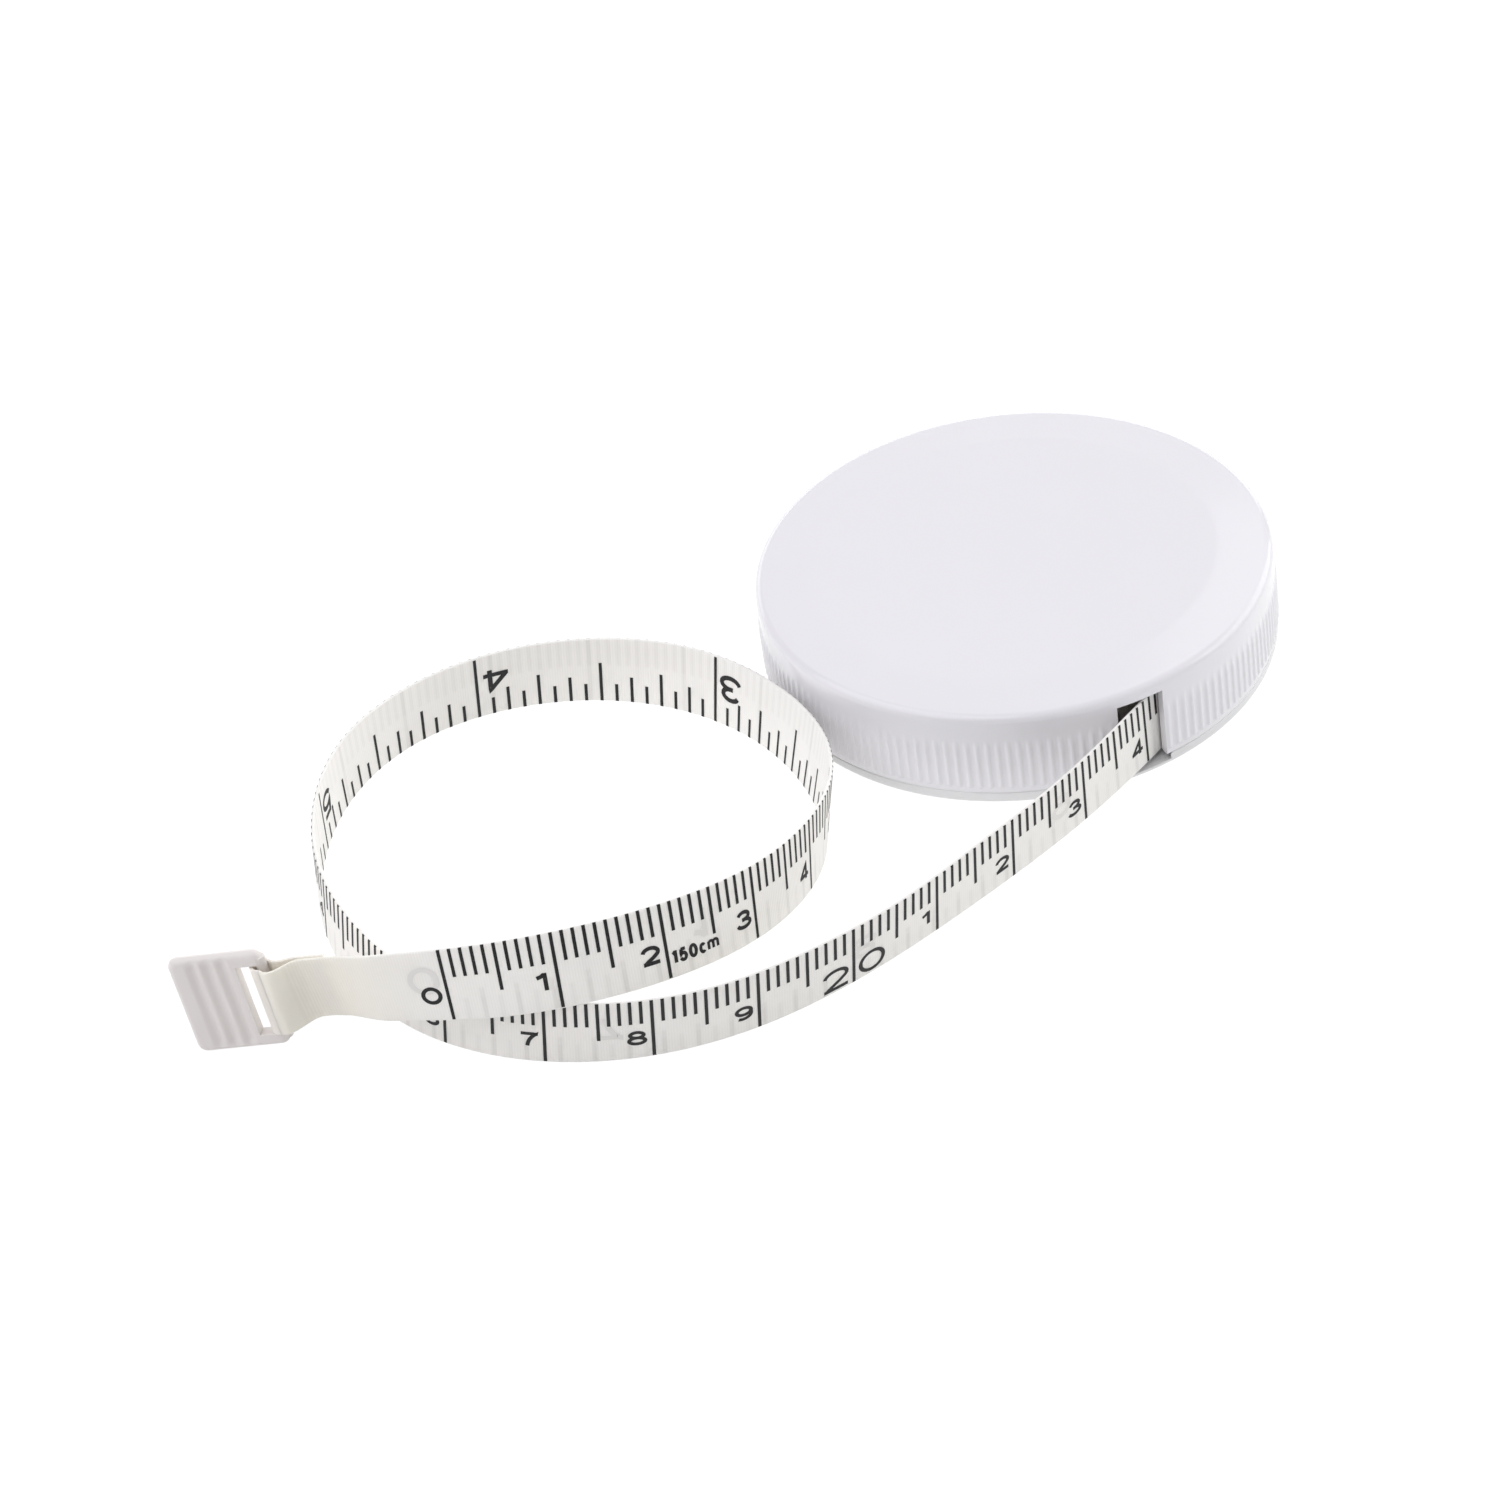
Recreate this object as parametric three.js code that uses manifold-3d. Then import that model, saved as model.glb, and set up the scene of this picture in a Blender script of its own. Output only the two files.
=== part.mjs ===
// A retractable cloth tape measure: a round two-part case, a sprung reel with a push-button brake,
// and a cloth tape that runs out of the mouth, lies in a loop on the table and ends in a grip tab.
// Millimetres, +Z up, origin at the centre of the case's underside, mouth towards -Y.
import * as THREE from "three";
import { mergeVertices } from "three/addons/utils/BufferGeometryUtils.js";
import Module from "manifold-3d";

const wasm = await Module();
wasm.setup();

// Clearances shared by every piece
const CLEARANCE = 0.3;
const PLAY = 0.1;
const OVERRUN = 1;

// Tape
const TAPE_WIDTH = 7.6;
const TAPE_THICKNESS = 0.35;
const WOUND_PITCH = 0.38;
const WOUND_LENGTH = 1154;
const TURN_ARC = 290;

// Case
const PLATE = 0.9;
const ROOF = 1;
const WALL = 1.2;
const TAPE_FLOOR_GAP = 0.5;
const TAPE_ROOF_GAP = 0.8;
const POST_ROOM = 5.37;
const CROWN_RISE = 0.2;
const SHOULDER = 1.4;
const WALL_DRAFT = 0.15;
const RIM_HEIGHT = 1.6;
const FOOT_CHAMFER = 0.4;
const LIP_WALL = 0.7;
const LIP_HEIGHT = 1;
const POST_RADIUS = 1.1;
const SOCKET_WALL = 0.5;
const SOCKET_HEIGHT = 3.1;

// Grip ribs round the case wall
const RIB_COUNT = 180;
const RIB_DEPTH = 0.2;
const RIB_LAND = 0.02;
const RIB_START = 0.1;
const RIB_HEIGHT = 5.3;

// Mouth, measured square to the tape as it leaves
const MOUTH_LEFT = 0.7;
const MOUTH_RIGHT = 1.45;
const MOUTH_REACH = 8;
const MOUTH_LINTEL = 0.3;

// Recess under the case and the button in it
const DISH_RADIUS = 10.5;
const DISH_DEPTH = 0.8;
const BUTTON_RADIUS = 5.9;
const BUTTON_FOOT_GAP = 0.15;
const BUTTON_EDGE = 0.3;
const BUTTON_COLLAR = 0.8;
const BUTTON_COLLAR_HEIGHT = 1;
const BUTTON_TRAVEL = 0.8;
const BUTTON_FLOOR = 1.85;
const STEM_RADIUS = 4;
const STEM_WALL = 1;

// Fixed arbor in the middle
const ARBOR_WALL = 1;
const SPIGOT_STEP = 0.8;
const SPIGOT_WALL = 1.6;
const ARBOR_RIM = 0.2;
const CLIP_THICKNESS = 0.3;
const CLIP_BITE = 0.4;
const CLIP_FLANGE = 1.2;
const WASHER_THICKNESS = 0.2;
const WASHER_OVERLAP = 1;

// Reel
const SPRING_CHAMBER = 5;
const DRUM_WALL = 1.3;
const DRUM_FLOOR_GAP = 0.4;
const DRUM_ROOF_GAP = 0.7;
const HUB_WALL = 1.7;
const HUB_HEIGHT = 1;
const WEB_STEP = 0.1;
const WEB = 0.9;
const RETAINER_THICKNESS = 0.2;
const RETAINER_FLOOR_GAP = 0.25;
const ANCHOR_WIDTH = 1;
const ANCHOR_ANGLE = 180;

// Power spring
const SPRING_THICKNESS = 0.28;
const SPRING_TURNS = 5.25;
const SPRING_INNER_ROOM = 0.5;
const SPRING_OUTER_ROOM = 0.4;
const SPRING_HOOK = 0.45;
const SPRING_TANG_SHARE = 0.7;

// Brake
const BRAKE_ROOM = 1.6;
const DISC_THICKNESS = 0.7;
const DISC_RIM_GAP = 0.6;
const PAD_WIDTH = 2.2;
const PAD_ARC = 40;
const PAD_COUNT = 3;
const KEY_WIDTH = 1.2;
const KEY_DEPTH = 1;
const KEY_REACH = 0.4;
const GUIDE_RADIUS = 3.2;
const GUIDE_HEIGHT = 0.7;
const COIL_WIRE = 0.35;
const COIL_TOP_RADIUS = 3.8;
const COIL_BASE_RADIUS = 5.2;
const COIL_TURNS = 2;
const COIL_SEAT_GAP = 0.05;
const FIRST_POST_ANGLE = 25;
const FIRST_KEY_ANGLE = 85;
const STATION_COUNT = 3;

// Grip tab, with the tape sewn round its bar
const TAB_LENGTH = 9.5;
const TAB_THICKNESS = 1.6;
const TAB_FRAME = 1.3;
const TAB_CORNER = 1.1;
const BAR_RADIUS = 0.55;
const WINDOW_WIDTH = 1.5;
const RIDGE_FIRST = 0.95;
const RIDGE_PITCH = 1.52;
const RIDGE_COUNT = 4;
const RIDGE_DEPTH = 0.3;
const HEM_LENGTH = 6.2;
const HEM_CLOSE = 4;

// How finely round shapes are cut
const CASE_SIDES = 60;
const DRUM_SIDES = 40;
const HUB_SIDES = 32;
const PIN_SIDES = 12;
const WIRE_SIDES = 6;
const STEPS_PER_TURN = 24;
const SHOULDER_STEPS = 4;
const ROUTE_STEPS = 66;
const HEM_STEPS = 8;

// The tape's route from the case to the tab, one row for each point that draws the curve:
// x, y and z of its lower edge, then how far its upper edge stands off in x and y,
// as shares of the tape's width.
const ROUTE = [
  [12.3, -20, 1.4, 0, 0],
  [5.9, -27.1, 1.4, -0.03, -0.06],
  [-1.6, -33.4, 0.9, 0.04, -0.11],
  [-9.5, -39.2, 0.7, 0.04, -0.12],
  [-17.5, -44.8, 0.5, 0.09, -0.2],
  [-26, -49.8, 0.4, 0.07, -0.15],
  [-35.3, -53, 0.2, 0.08, -0.16],
  [-45.2, -53.5, 0.1, 0.08, -0.1],
  [-54.8, -51.1, 0.1, 0.13, -0.02],
  [-63.2, -45.8, 0.2, 0.13, -0.08],
  [-69.2, -37.8, 0.5, 0.18, -0.02],
  [-72.2, -28.4, 1.1, 0.11, -0.08],
  [-71.9, -18.5, 1.3, 0.06, -0.08],
  [-68.6, -9.1, 1.5, 0, -0.07],
  [-62, -1.5, 1.1, 0.09, -0.08],
  [-52.6, 2.1, 0.6, 0.07, -0.03],
  [-42.7, 1.5, 0.4, 0.1, 0.02],
  [-33.6, -2.6, 0.1, 0.12, 0.12],
  [-26.9, -10, 0.1, 0.17, 0.12],
  [-23.4, -19.3, 0.8, 0.28, 0.16],
  [-22.4, -29, 2.1, 0.2, 0.12],
  [-24.7, -38.5, 4.3, 0.08, 0.15],
  [-30.2, -46.5, 6.1, 0.04, 0.19],
  [-38.3, -52.3, 8, -0.02, 0.27],
  [-48.1, -54.1, 8, 0, 0.33],
  [-57.8, -51.9, 6.4, -0.02, 0.22],
  [-66.3, -47.3, 4.6, -0.11, 0.03],
  [-75.6, -45.4, 2.8, -0.11, 0.09],
];

// Finishes
const plastic = (color, roughness) => new THREE.MeshStandardMaterial({ color, roughness, metalness: 0 });
const metal = (color, roughness) => new THREE.MeshStandardMaterial({ color, roughness, metalness: 1 });
const CASE_FINISH = plastic(0xededf2, 0.35);
const BASE_FINISH = plastic(0xe6e6ea, 0.4);
const BUTTON_FINISH = plastic(0xe4e4e8, 0.45);
const INNER_FINISH = plastic(0xd9d7d0, 0.55);
const TAB_FINISH = plastic(0xdcdad6, 0.5);
const TAPE_FINISH = plastic(0xe4e3e0, 0.8);
const PAD_FINISH = plastic(0x2e2e30, 0.9);
const SPRING_FINISH = metal(0x8b8f96, 0.35);
const STEEL_FINISH = metal(0xb9bcc2, 0.3);

// Heights in the case, from its underside up
const CASE_HEIGHT = PLATE + TAPE_FLOOR_GAP + TAPE_WIDTH + TAPE_ROOF_GAP + ROOF;
const TAPE_FLOOR = PLATE + TAPE_FLOOR_GAP;
const ROOF_UNDERSIDE = CASE_HEIGHT - ROOF;
const DISH_TOP = DISH_DEPTH + PLATE;
const DISC_TOP = ROOF_UNDERSIDE - BRAKE_ROOM;
const DISC_UNDERSIDE = DISC_TOP - DISC_THICKNESS;
const ARBOR_TOP = DISC_UNDERSIDE - CLEARANCE;
const CLIP_SEAT = ARBOR_TOP - ARBOR_RIM - PLAY - CLIP_THICKNESS;
const HUB_TOP = CLIP_SEAT - PLAY;
const HUB_UNDERSIDE = HUB_TOP - HUB_HEIGHT;
const WEB_TOP = HUB_TOP - WEB_STEP;
const WEB_UNDERSIDE = WEB_TOP - WEB;
const WASHER_SEAT = HUB_UNDERSIDE - PLAY - WASHER_THICKNESS;
const RETAINER_SEAT = DISH_TOP + RETAINER_FLOOR_GAP;
const SPRING_SEAT = RETAINER_SEAT + RETAINER_THICKNESS + CLEARANCE;
const SPRING_WIDTH = WASHER_SEAT - CLEARANCE - SPRING_SEAT;
const COLLAR_SEAT = DISH_TOP + PLAY;

// Radii in the case, from its middle out
const COLLAR_RADIUS = BUTTON_RADIUS + BUTTON_COLLAR;
const ARBOR_BORE = COLLAR_RADIUS + CLEARANCE;
const ARBOR_RADIUS = ARBOR_BORE + ARBOR_WALL;
const SPIGOT_RADIUS = ARBOR_RADIUS - SPIGOT_STEP;
const SPIGOT_BORE = SPIGOT_RADIUS - SPIGOT_WALL;
const HUB_BORE = SPIGOT_RADIUS + CLEARANCE;
const HUB_RADIUS = HUB_BORE + HUB_WALL;
const DRUM_BORE = ARBOR_RADIUS + SPRING_CHAMBER;
const DRUM_RADIUS = DRUM_BORE + DRUM_WALL;
const WOUND_BORE = DRUM_RADIUS + CLEARANCE;
const WOUND_RADIUS = Math.sqrt(WOUND_BORE ** 2 + (WOUND_LENGTH * WOUND_PITCH) / Math.PI);
const TURN_RADIUS = WOUND_RADIUS + CLEARANCE + TAPE_THICKNESS / 2;
const CASE_BORE = TURN_RADIUS + TAPE_THICKNESS / 2 + POST_ROOM;
const CASE_RADIUS = CASE_BORE + WALL;
const LIP_RADIUS = CASE_BORE - CLEARANCE;
const SOCKET_BORE = POST_RADIUS + CLEARANCE;
const SOCKET_RADIUS = SOCKET_BORE + SOCKET_WALL;
const POST_CIRCLE = CASE_BORE - CLEARANCE - SOCKET_RADIUS;
const DISC_RADIUS = DRUM_BORE - DISC_RIM_GAP;

const radians = THREE.MathUtils.degToRad;

// A closed geometry as a solid that can be joined and cut
function solid(geometry) {
  const bare = geometry.clone();
  bare.deleteAttribute("normal");
  bare.deleteAttribute("uv");
  const merged = mergeVertices(bare);
  const corners = merged.index.array;
  const faces = [];
  for (let i = 0; i < corners.length; i += 3) {
    const [a, b, c] = corners.slice(i, i + 3);
    if (a !== b && b !== c && c !== a) faces.push(a, b, c);
  }
  const vertProperties = merged.attributes.position.array;
  return new wasm.Manifold(new wasm.Mesh({ numProp: 3, vertProperties, triVerts: new Uint32Array(faces) }));
}

// A solid back as a three.js geometry
function geometryOf(body) {
  const { vertProperties, triVerts } = body.getMesh();
  const geometry = new THREE.BufferGeometry();
  geometry.setAttribute("position", new THREE.BufferAttribute(vertProperties, 3));
  geometry.setIndex(new THREE.BufferAttribute(triVerts, 1));
  geometry.computeVertexNormals();
  return geometry;
}

// A named piece at a height in the case
function piece(name, geometry, material, height = 0) {
  const mesh = new THREE.Mesh(geometry, material);
  mesh.name = name;
  mesh.position.z = height;
  return mesh;
}

// A profile of radius and height points, turned round the upright axis
function turned(profile, sides) {
  const points = profile.map(([radius, height]) => new THREE.Vector2(radius, height));
  return new THREE.LatheGeometry(points, sides).rotateX(Math.PI / 2);
}

// A flat ring or tube from its bore, radius, foot and height
function ring(bore, radius, foot, height, sides) {
  const top = foot + height;
  return turned([[bore, foot], [radius, foot], [radius, top], [bore, top], [bore, foot]], sides);
}

// An upright pin round a point at a radius and angle from the middle
function pin(radius, foot, height, circle, angle, sides) {
  const post = new THREE.CylinderGeometry(radius, radius, height, sides).rotateX(Math.PI / 2);
  return post.translate(circle, 0, foot + height / 2).rotateZ(radians(angle));
}

// A block that spans radii, a width and heights, turned to an angle
function block(inner, outer, low, high, foot, top, angle = 0) {
  const shape = new THREE.BoxGeometry(outer - inner, high - low, top - foot);
  return shape.translate((inner + outer) / 2, (low + high) / 2, (foot + top) / 2).rotateZ(radians(angle));
}

// Angles of the copies that stand evenly round the middle
function around(count, first) {
  return Array.from({ length: count }, (_, i) => first + (360 * i) / count);
}

// A band of cloth or steel through stations, each with its centre, its across direction and its face
function band(stations, width, thickness) {
  const positions = [];
  const indices = [];
  stations.forEach(({ centre, across, face }) => {
    [[-1, -1], [1, -1], [1, 1], [-1, 1]].forEach(([up, out]) => {
      const corner = centre.clone().addScaledVector(across, (up * width) / 2);
      positions.push(...corner.addScaledVector(face, (out * thickness) / 2));
    });
  });
  const last = 4 * (stations.length - 1);
  for (let i = 0; i < last; i += 4) {
    for (let k = 0; k < 4; k += 1) {
      const next = (k + 1) % 4;
      indices.push(i + k, i + next, i + 4 + next, i + k, i + 4 + next, i + 4 + k);
    }
  }
  indices.push(0, 2, 1, 0, 3, 2, last, last + 1, last + 2, last, last + 2, last + 3);
  const geometry = new THREE.BufferGeometry();
  geometry.setAttribute("position", new THREE.Float32BufferAttribute(positions, 3));
  geometry.setIndex(indices);
  geometry.computeVertexNormals();
  return geometry;
}

// Stations of an upright band along a flat path of points
function uprightStations(points, height) {
  const up = new THREE.Vector3(0, 0, 1);
  return points.map((point, i) => {
    const before = points[Math.max(i - 1, 0)];
    const after = points[Math.min(i + 1, points.length - 1)];
    const along = after.clone().sub(before).normalize();
    const centre = new THREE.Vector3(point.x, point.y, height);
    return { centre, across: up, face: new THREE.Vector3().crossVectors(along, up) };
  });
}

// The least distance between turns of a path, measured on its points, less the band's own size
function leastGap(points, skip, size) {
  let least = Infinity;
  points.forEach((point, i) => {
    points.slice(i + skip).forEach((other) => {
      least = Math.min(least, point.distanceTo(other));
    });
  });
  return least - size;
}

// The tape's route as a smooth curve: a uniform cubic spline drawn by the rows of ROUTE,
// which starts and ends on the first and last row
function routeRow(share) {
  const rows = [...ROUTE];
  const mirrored = (end, inner) => end.map((value, k) => 2 * value - inner[k]);
  rows.unshift(mirrored(ROUTE[0], ROUTE[1]));
  rows.push(mirrored(ROUTE[ROUTE.length - 1], ROUTE[ROUTE.length - 2]));
  const place = Math.min(Math.max(share, 0), 1) * (ROUTE.length - 1);
  const i = Math.min(Math.floor(place), ROUTE.length - 2);
  const f = place - i;
  const weights = [(1 - f) ** 3, 3 * f ** 3 - 6 * f ** 2 + 4, -3 * f ** 3 + 3 * f ** 2 + 3 * f + 1, f ** 3];
  return ROUTE[0].map((_, k) => weights.reduce((sum, weight, j) => sum + (weight * rows[i + j][k]) / 6, 0));
}

// The middle of the tape and its upright direction at a share of the route
function routeFrame(share) {
  const [x, y, z, leanX, leanY] = routeRow(share);
  const across = new THREE.Vector3(leanX, leanY, Math.sqrt(1 - leanX ** 2 - leanY ** 2));
  const centre = new THREE.Vector3(x, y, z).addScaledVector(across, TAPE_WIDTH / 2);
  return { centre, across };
}

// A station of the tape: its outward heading runs from the case to the tab,
// and its face looks away from the printed side
function routeStation(share) {
  const step = 1 / (ROUTE_STEPS * STEPS_PER_TURN);
  const { centre, across } = routeFrame(share);
  const before = routeFrame(Math.max(share - step, 0)).centre;
  const after = routeFrame(Math.min(share + step, 1)).centre;
  const along = after.sub(before).normalize();
  const face = new THREE.Vector3().crossVectors(along, across).normalize();
  return { centre, across, along, face };
}

const START = routeStation(0);
const END = routeStation(1);
const INWARD = Math.atan2(-START.along.y, -START.along.x);

// The place where the tape's middle line passes the middle of the case wall
function mouthPoint() {
  let share = 0;
  const step = 1 / (ROUTE_STEPS * ROUTE_STEPS);
  while (routeFrame(share).centre.setZ(0).length() < CASE_RADIUS - WALL / 2) share += step;
  return routeStation(share);
}

// A block along the tape where it passes the wall, from a height up to the lintel
function mouthCutter(foot) {
  const { centre, along } = mouthPoint();
  const heading = Math.atan2(-along.y, -along.x);
  const top = ROOF_UNDERSIDE - MOUTH_LINTEL;
  const shape = block(-MOUTH_REACH / 2, MOUTH_REACH, -MOUTH_RIGHT, MOUTH_LEFT, foot, top);
  return shape.rotateZ(heading).translate(centre.x, centre.y, 0);
}

// The cutter that leaves the grip ribs standing on the wall, drawn in with the wall's draft
function ribCutter() {
  const crest = CASE_RADIUS * Math.cos(Math.PI / CASE_SIDES) - RIB_LAND;
  const outline = new THREE.Shape().absarc(0, 0, CASE_RADIUS + OVERRUN, 0, 2 * Math.PI);
  const points = Array.from({ length: 2 * RIB_COUNT }, (_, i) => {
    const radius = i % 2 ? crest - RIB_DEPTH : crest;
    const angle = (Math.PI * i) / RIB_COUNT;
    return new THREE.Vector2(radius * Math.cos(angle), radius * Math.sin(angle));
  });
  outline.holes.push(new THREE.Path(points.reverse()));
  const options = { depth: RIB_HEIGHT, bevelEnabled: false, curveSegments: PIN_SIDES };
  const cutter = new THREE.ExtrudeGeometry(outline, options).translate(0, 0, RIM_HEIGHT + RIB_START);
  const position = cutter.attributes.position;
  const slope = WALL_DRAFT / (CASE_HEIGHT - SHOULDER - RIM_HEIGHT) / CASE_RADIUS;
  for (let i = 0; i < position.count; i += 1) {
    const scale = 1 - slope * (position.getZ(i) - RIM_HEIGHT);
    position.setX(i, position.getX(i) * scale);
    position.setY(i, position.getY(i) * scale);
  }
  return cutter;
}

// Cover: a cap with a soft shoulder, grip ribs, three snap posts, three brake keys and a spring guide
function caseCover() {
  const shoulderTop = CASE_RADIUS - WALL_DRAFT;
  const flat = shoulderTop - SHOULDER;
  const profile = [[CASE_RADIUS, RIM_HEIGHT]];
  for (let i = 0; i <= SHOULDER_STEPS; i += 1) {
    const turn = (Math.PI / 2) * (i / SHOULDER_STEPS);
    profile.push([flat + SHOULDER * Math.cos(turn), CASE_HEIGHT - SHOULDER + SHOULDER * Math.sin(turn)]);
  }
  for (const reach of [2 / 3, 1 / 3, 0]) {
    profile.push([flat * reach, CASE_HEIGHT + CROWN_RISE * (1 - reach ** 2)]);
  }
  const guideFoot = ROOF_UNDERSIDE - GUIDE_HEIGHT;
  profile.push([0, guideFoot], [GUIDE_RADIUS, guideFoot], [GUIDE_RADIUS, ROOF_UNDERSIDE]);
  profile.push([CASE_BORE, ROOF_UNDERSIDE], [CASE_BORE, RIM_HEIGHT], [CASE_RADIUS, RIM_HEIGHT]);
  let body = solid(turned(profile, CASE_SIDES)).subtract(solid(ribCutter()));
  const postFoot = PLATE + CLEARANCE;
  const postHeight = ROOF_UNDERSIDE + ROOF / 2 - postFoot;
  for (const angle of around(STATION_COUNT, FIRST_POST_ANGLE)) {
    body = body.add(solid(pin(POST_RADIUS, postFoot, postHeight, POST_CIRCLE, angle, PIN_SIDES)));
  }
  const keyOuter = DRUM_BORE - DISC_RIM_GAP + PLAY;
  for (const angle of around(STATION_COUNT, FIRST_KEY_ANGLE)) {
    const foot = DISC_UNDERSIDE - KEY_REACH;
    const top = ROOF_UNDERSIDE + ROOF / 2;
    const key = block(keyOuter - KEY_DEPTH, keyOuter, -KEY_WIDTH / 2, KEY_WIDTH / 2, foot, top, angle);
    body = body.add(solid(key));
  }
  return piece("case_cover", geometryOf(body.subtract(solid(mouthCutter(PLATE)))), CASE_FINISH);
}

// Base: a plate with a rim, a locating lip, a raised dish round the button hole and three sockets
function caseBase() {
  const hole = BUTTON_RADIUS + CLEARANCE;
  const profile = [
    [hole, DISH_DEPTH],
    [DISH_RADIUS, DISH_DEPTH],
    [DISH_RADIUS + DISH_DEPTH, 0],
    [CASE_RADIUS - FOOT_CHAMFER, 0],
    [CASE_RADIUS, FOOT_CHAMFER],
    [CASE_RADIUS, RIM_HEIGHT],
    [LIP_RADIUS, RIM_HEIGHT],
    [LIP_RADIUS, RIM_HEIGHT + LIP_HEIGHT],
    [LIP_RADIUS - LIP_WALL, RIM_HEIGHT + LIP_HEIGHT],
    [LIP_RADIUS - LIP_WALL, PLATE],
    [DISH_RADIUS + DISH_DEPTH, PLATE],
    [DISH_RADIUS, DISH_TOP],
    [hole, DISH_TOP],
    [hole, DISH_DEPTH],
  ];
  let body = solid(turned(profile, CASE_SIDES));
  const socketFoot = PLATE / 2;
  for (const angle of around(STATION_COUNT, FIRST_POST_ANGLE)) {
    const socket = pin(SOCKET_RADIUS, socketFoot, PLATE / 2 + SOCKET_HEIGHT, POST_CIRCLE, angle, PIN_SIDES);
    const bore = pin(SOCKET_BORE, PLATE, SOCKET_HEIGHT + OVERRUN, POST_CIRCLE, angle, PIN_SIDES);
    body = body.add(solid(socket)).subtract(solid(bore));
  }
  return piece("case_base", geometryOf(body.subtract(solid(mouthCutter(PLATE)))), BASE_FINISH);
}

// Arbor: a stepped tube that stands on the base, slotted for the spring and grooved for the clip
function fixedArbor() {
  const shoulder = WASHER_SEAT - DISH_TOP;
  const step = COLLAR_SEAT + BUTTON_COLLAR_HEIGHT + BUTTON_TRAVEL + CLEARANCE - DISH_TOP;
  const groove = CLIP_SEAT - PLAY - DISH_TOP;
  const grooveTop = groove + CLIP_THICKNESS + 2 * PLAY;
  const grooveRadius = SPIGOT_RADIUS - CLIP_BITE - CLEARANCE;
  const top = ARBOR_TOP - DISH_TOP;
  const profile = [
    [ARBOR_BORE, 0],
    [ARBOR_RADIUS, 0],
    [ARBOR_RADIUS, shoulder],
    [SPIGOT_RADIUS, shoulder],
    [SPIGOT_RADIUS, groove],
    [grooveRadius, groove],
    [grooveRadius, grooveTop],
    [SPIGOT_RADIUS, grooveTop],
    [SPIGOT_RADIUS, top],
    [SPIGOT_BORE, top],
    [SPIGOT_BORE, step],
    [ARBOR_BORE, step],
    [ARBOR_BORE, 0],
  ];
  const half = SPRING_THICKNESS / 2 + CLEARANCE;
  const foot = SPRING_SEAT - CLEARANCE - DISH_TOP;
  const reach = ARBOR_RADIUS + OVERRUN;
  const inner = ARBOR_BORE - ARBOR_WALL / 2;
  const slot = block(inner, reach, -SPRING_HOOK - half, -SPRING_HOOK + half, foot, shoulder);
  const body = solid(turned(profile, HUB_SIDES)).subtract(solid(slot));
  return piece("fixed_arbor", geometryOf(body), INNER_FINISH, DISH_TOP);
}

// Clip: an open ring snapped into the arbor's groove over the hub
function arborClip() {
  const bore = SPIGOT_RADIUS - CLIP_BITE;
  const radius = bore + CLIP_FLANGE + CLIP_BITE;
  const gap = block(0, radius + OVERRUN, -CLIP_FLANGE, CLIP_FLANGE, -OVERRUN, OVERRUN);
  const body = solid(ring(bore, radius, 0, CLIP_THICKNESS, HUB_SIDES)).subtract(solid(gap));
  return piece("arbor_clip", geometryOf(body), STEEL_FINISH, CLIP_SEAT);
}

// Washer on the arbor's shoulder, which carries the hub
function drumWasher() {
  const shape = ring(HUB_BORE, ARBOR_RADIUS + WASHER_OVERLAP, 0, WASHER_THICKNESS, HUB_SIDES);
  return piece("drum_washer", shape, STEEL_FINISH, WASHER_SEAT);
}

// The spring's outer end in its own terms: the angle and radius where its last turn stops
const SPRING_END_ANGLE = 360 * SPRING_TURNS;
const SPRING_START_RADIUS = ARBOR_RADIUS + SPRING_INNER_ROOM + SPRING_THICKNESS / 2;
const SPRING_END_RADIUS = DRUM_BORE - SPRING_OUTER_ROOM - SPRING_THICKNESS / 2;

// Reel: a hub and web inside the drum that the tape winds on
function reelDrum() {
  const foot = PLATE + DRUM_FLOOR_GAP;
  const top = ROOF_UNDERSIDE - DRUM_ROOF_GAP;
  const profile = [
    [HUB_BORE, HUB_UNDERSIDE],
    [HUB_RADIUS, HUB_UNDERSIDE],
    [HUB_RADIUS, WEB_UNDERSIDE],
    [DRUM_BORE, WEB_UNDERSIDE],
    [DRUM_BORE, foot],
    [DRUM_RADIUS, foot],
    [DRUM_RADIUS, top],
    [DRUM_BORE, top],
    [DRUM_BORE, WEB_TOP],
    [HUB_RADIUS, WEB_TOP],
    [HUB_RADIUS, HUB_TOP],
    [HUB_BORE, HUB_TOP],
    [HUB_BORE, HUB_UNDERSIDE],
  ].filter(([radius, height], i, all) => i === 0 || radius !== all[i - 1][0] || height !== all[i - 1][1]);
  const reach = DRUM_RADIUS + OVERRUN;
  const inner = DRUM_BORE - SPRING_OUTER_ROOM;
  const half = SPRING_THICKNESS / 2 + CLEARANCE;
  const slotTop = SPRING_SEAT + SPRING_WIDTH + CLEARANCE;
  const slotFoot = foot - OVERRUN;
  const slot = block(inner, reach, SPRING_HOOK - half, SPRING_HOOK + half, slotFoot, slotTop, SPRING_END_ANGLE);
  const side = ANCHOR_WIDTH / 2 + CLEARANCE;
  const groove = block(DRUM_BORE - PLAY, reach, -side, side, foot - OVERRUN, top + OVERRUN, ANCHOR_ANGLE);
  const body = solid(turned(profile, DRUM_SIDES)).subtract(solid(slot)).subtract(solid(groove));
  return piece("reel_drum", geometryOf(body), INNER_FINISH);
}

// Retainer: a thin disc pressed into the drum under the spring
function springRetainer() {
  const shape = ring(ARBOR_RADIUS + CLEARANCE, DRUM_BORE - CLEARANCE, 0, RETAINER_THICKNESS, HUB_SIDES);
  return piece("spring_retainer", shape, INNER_FINISH, RETAINER_SEAT);
}

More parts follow.
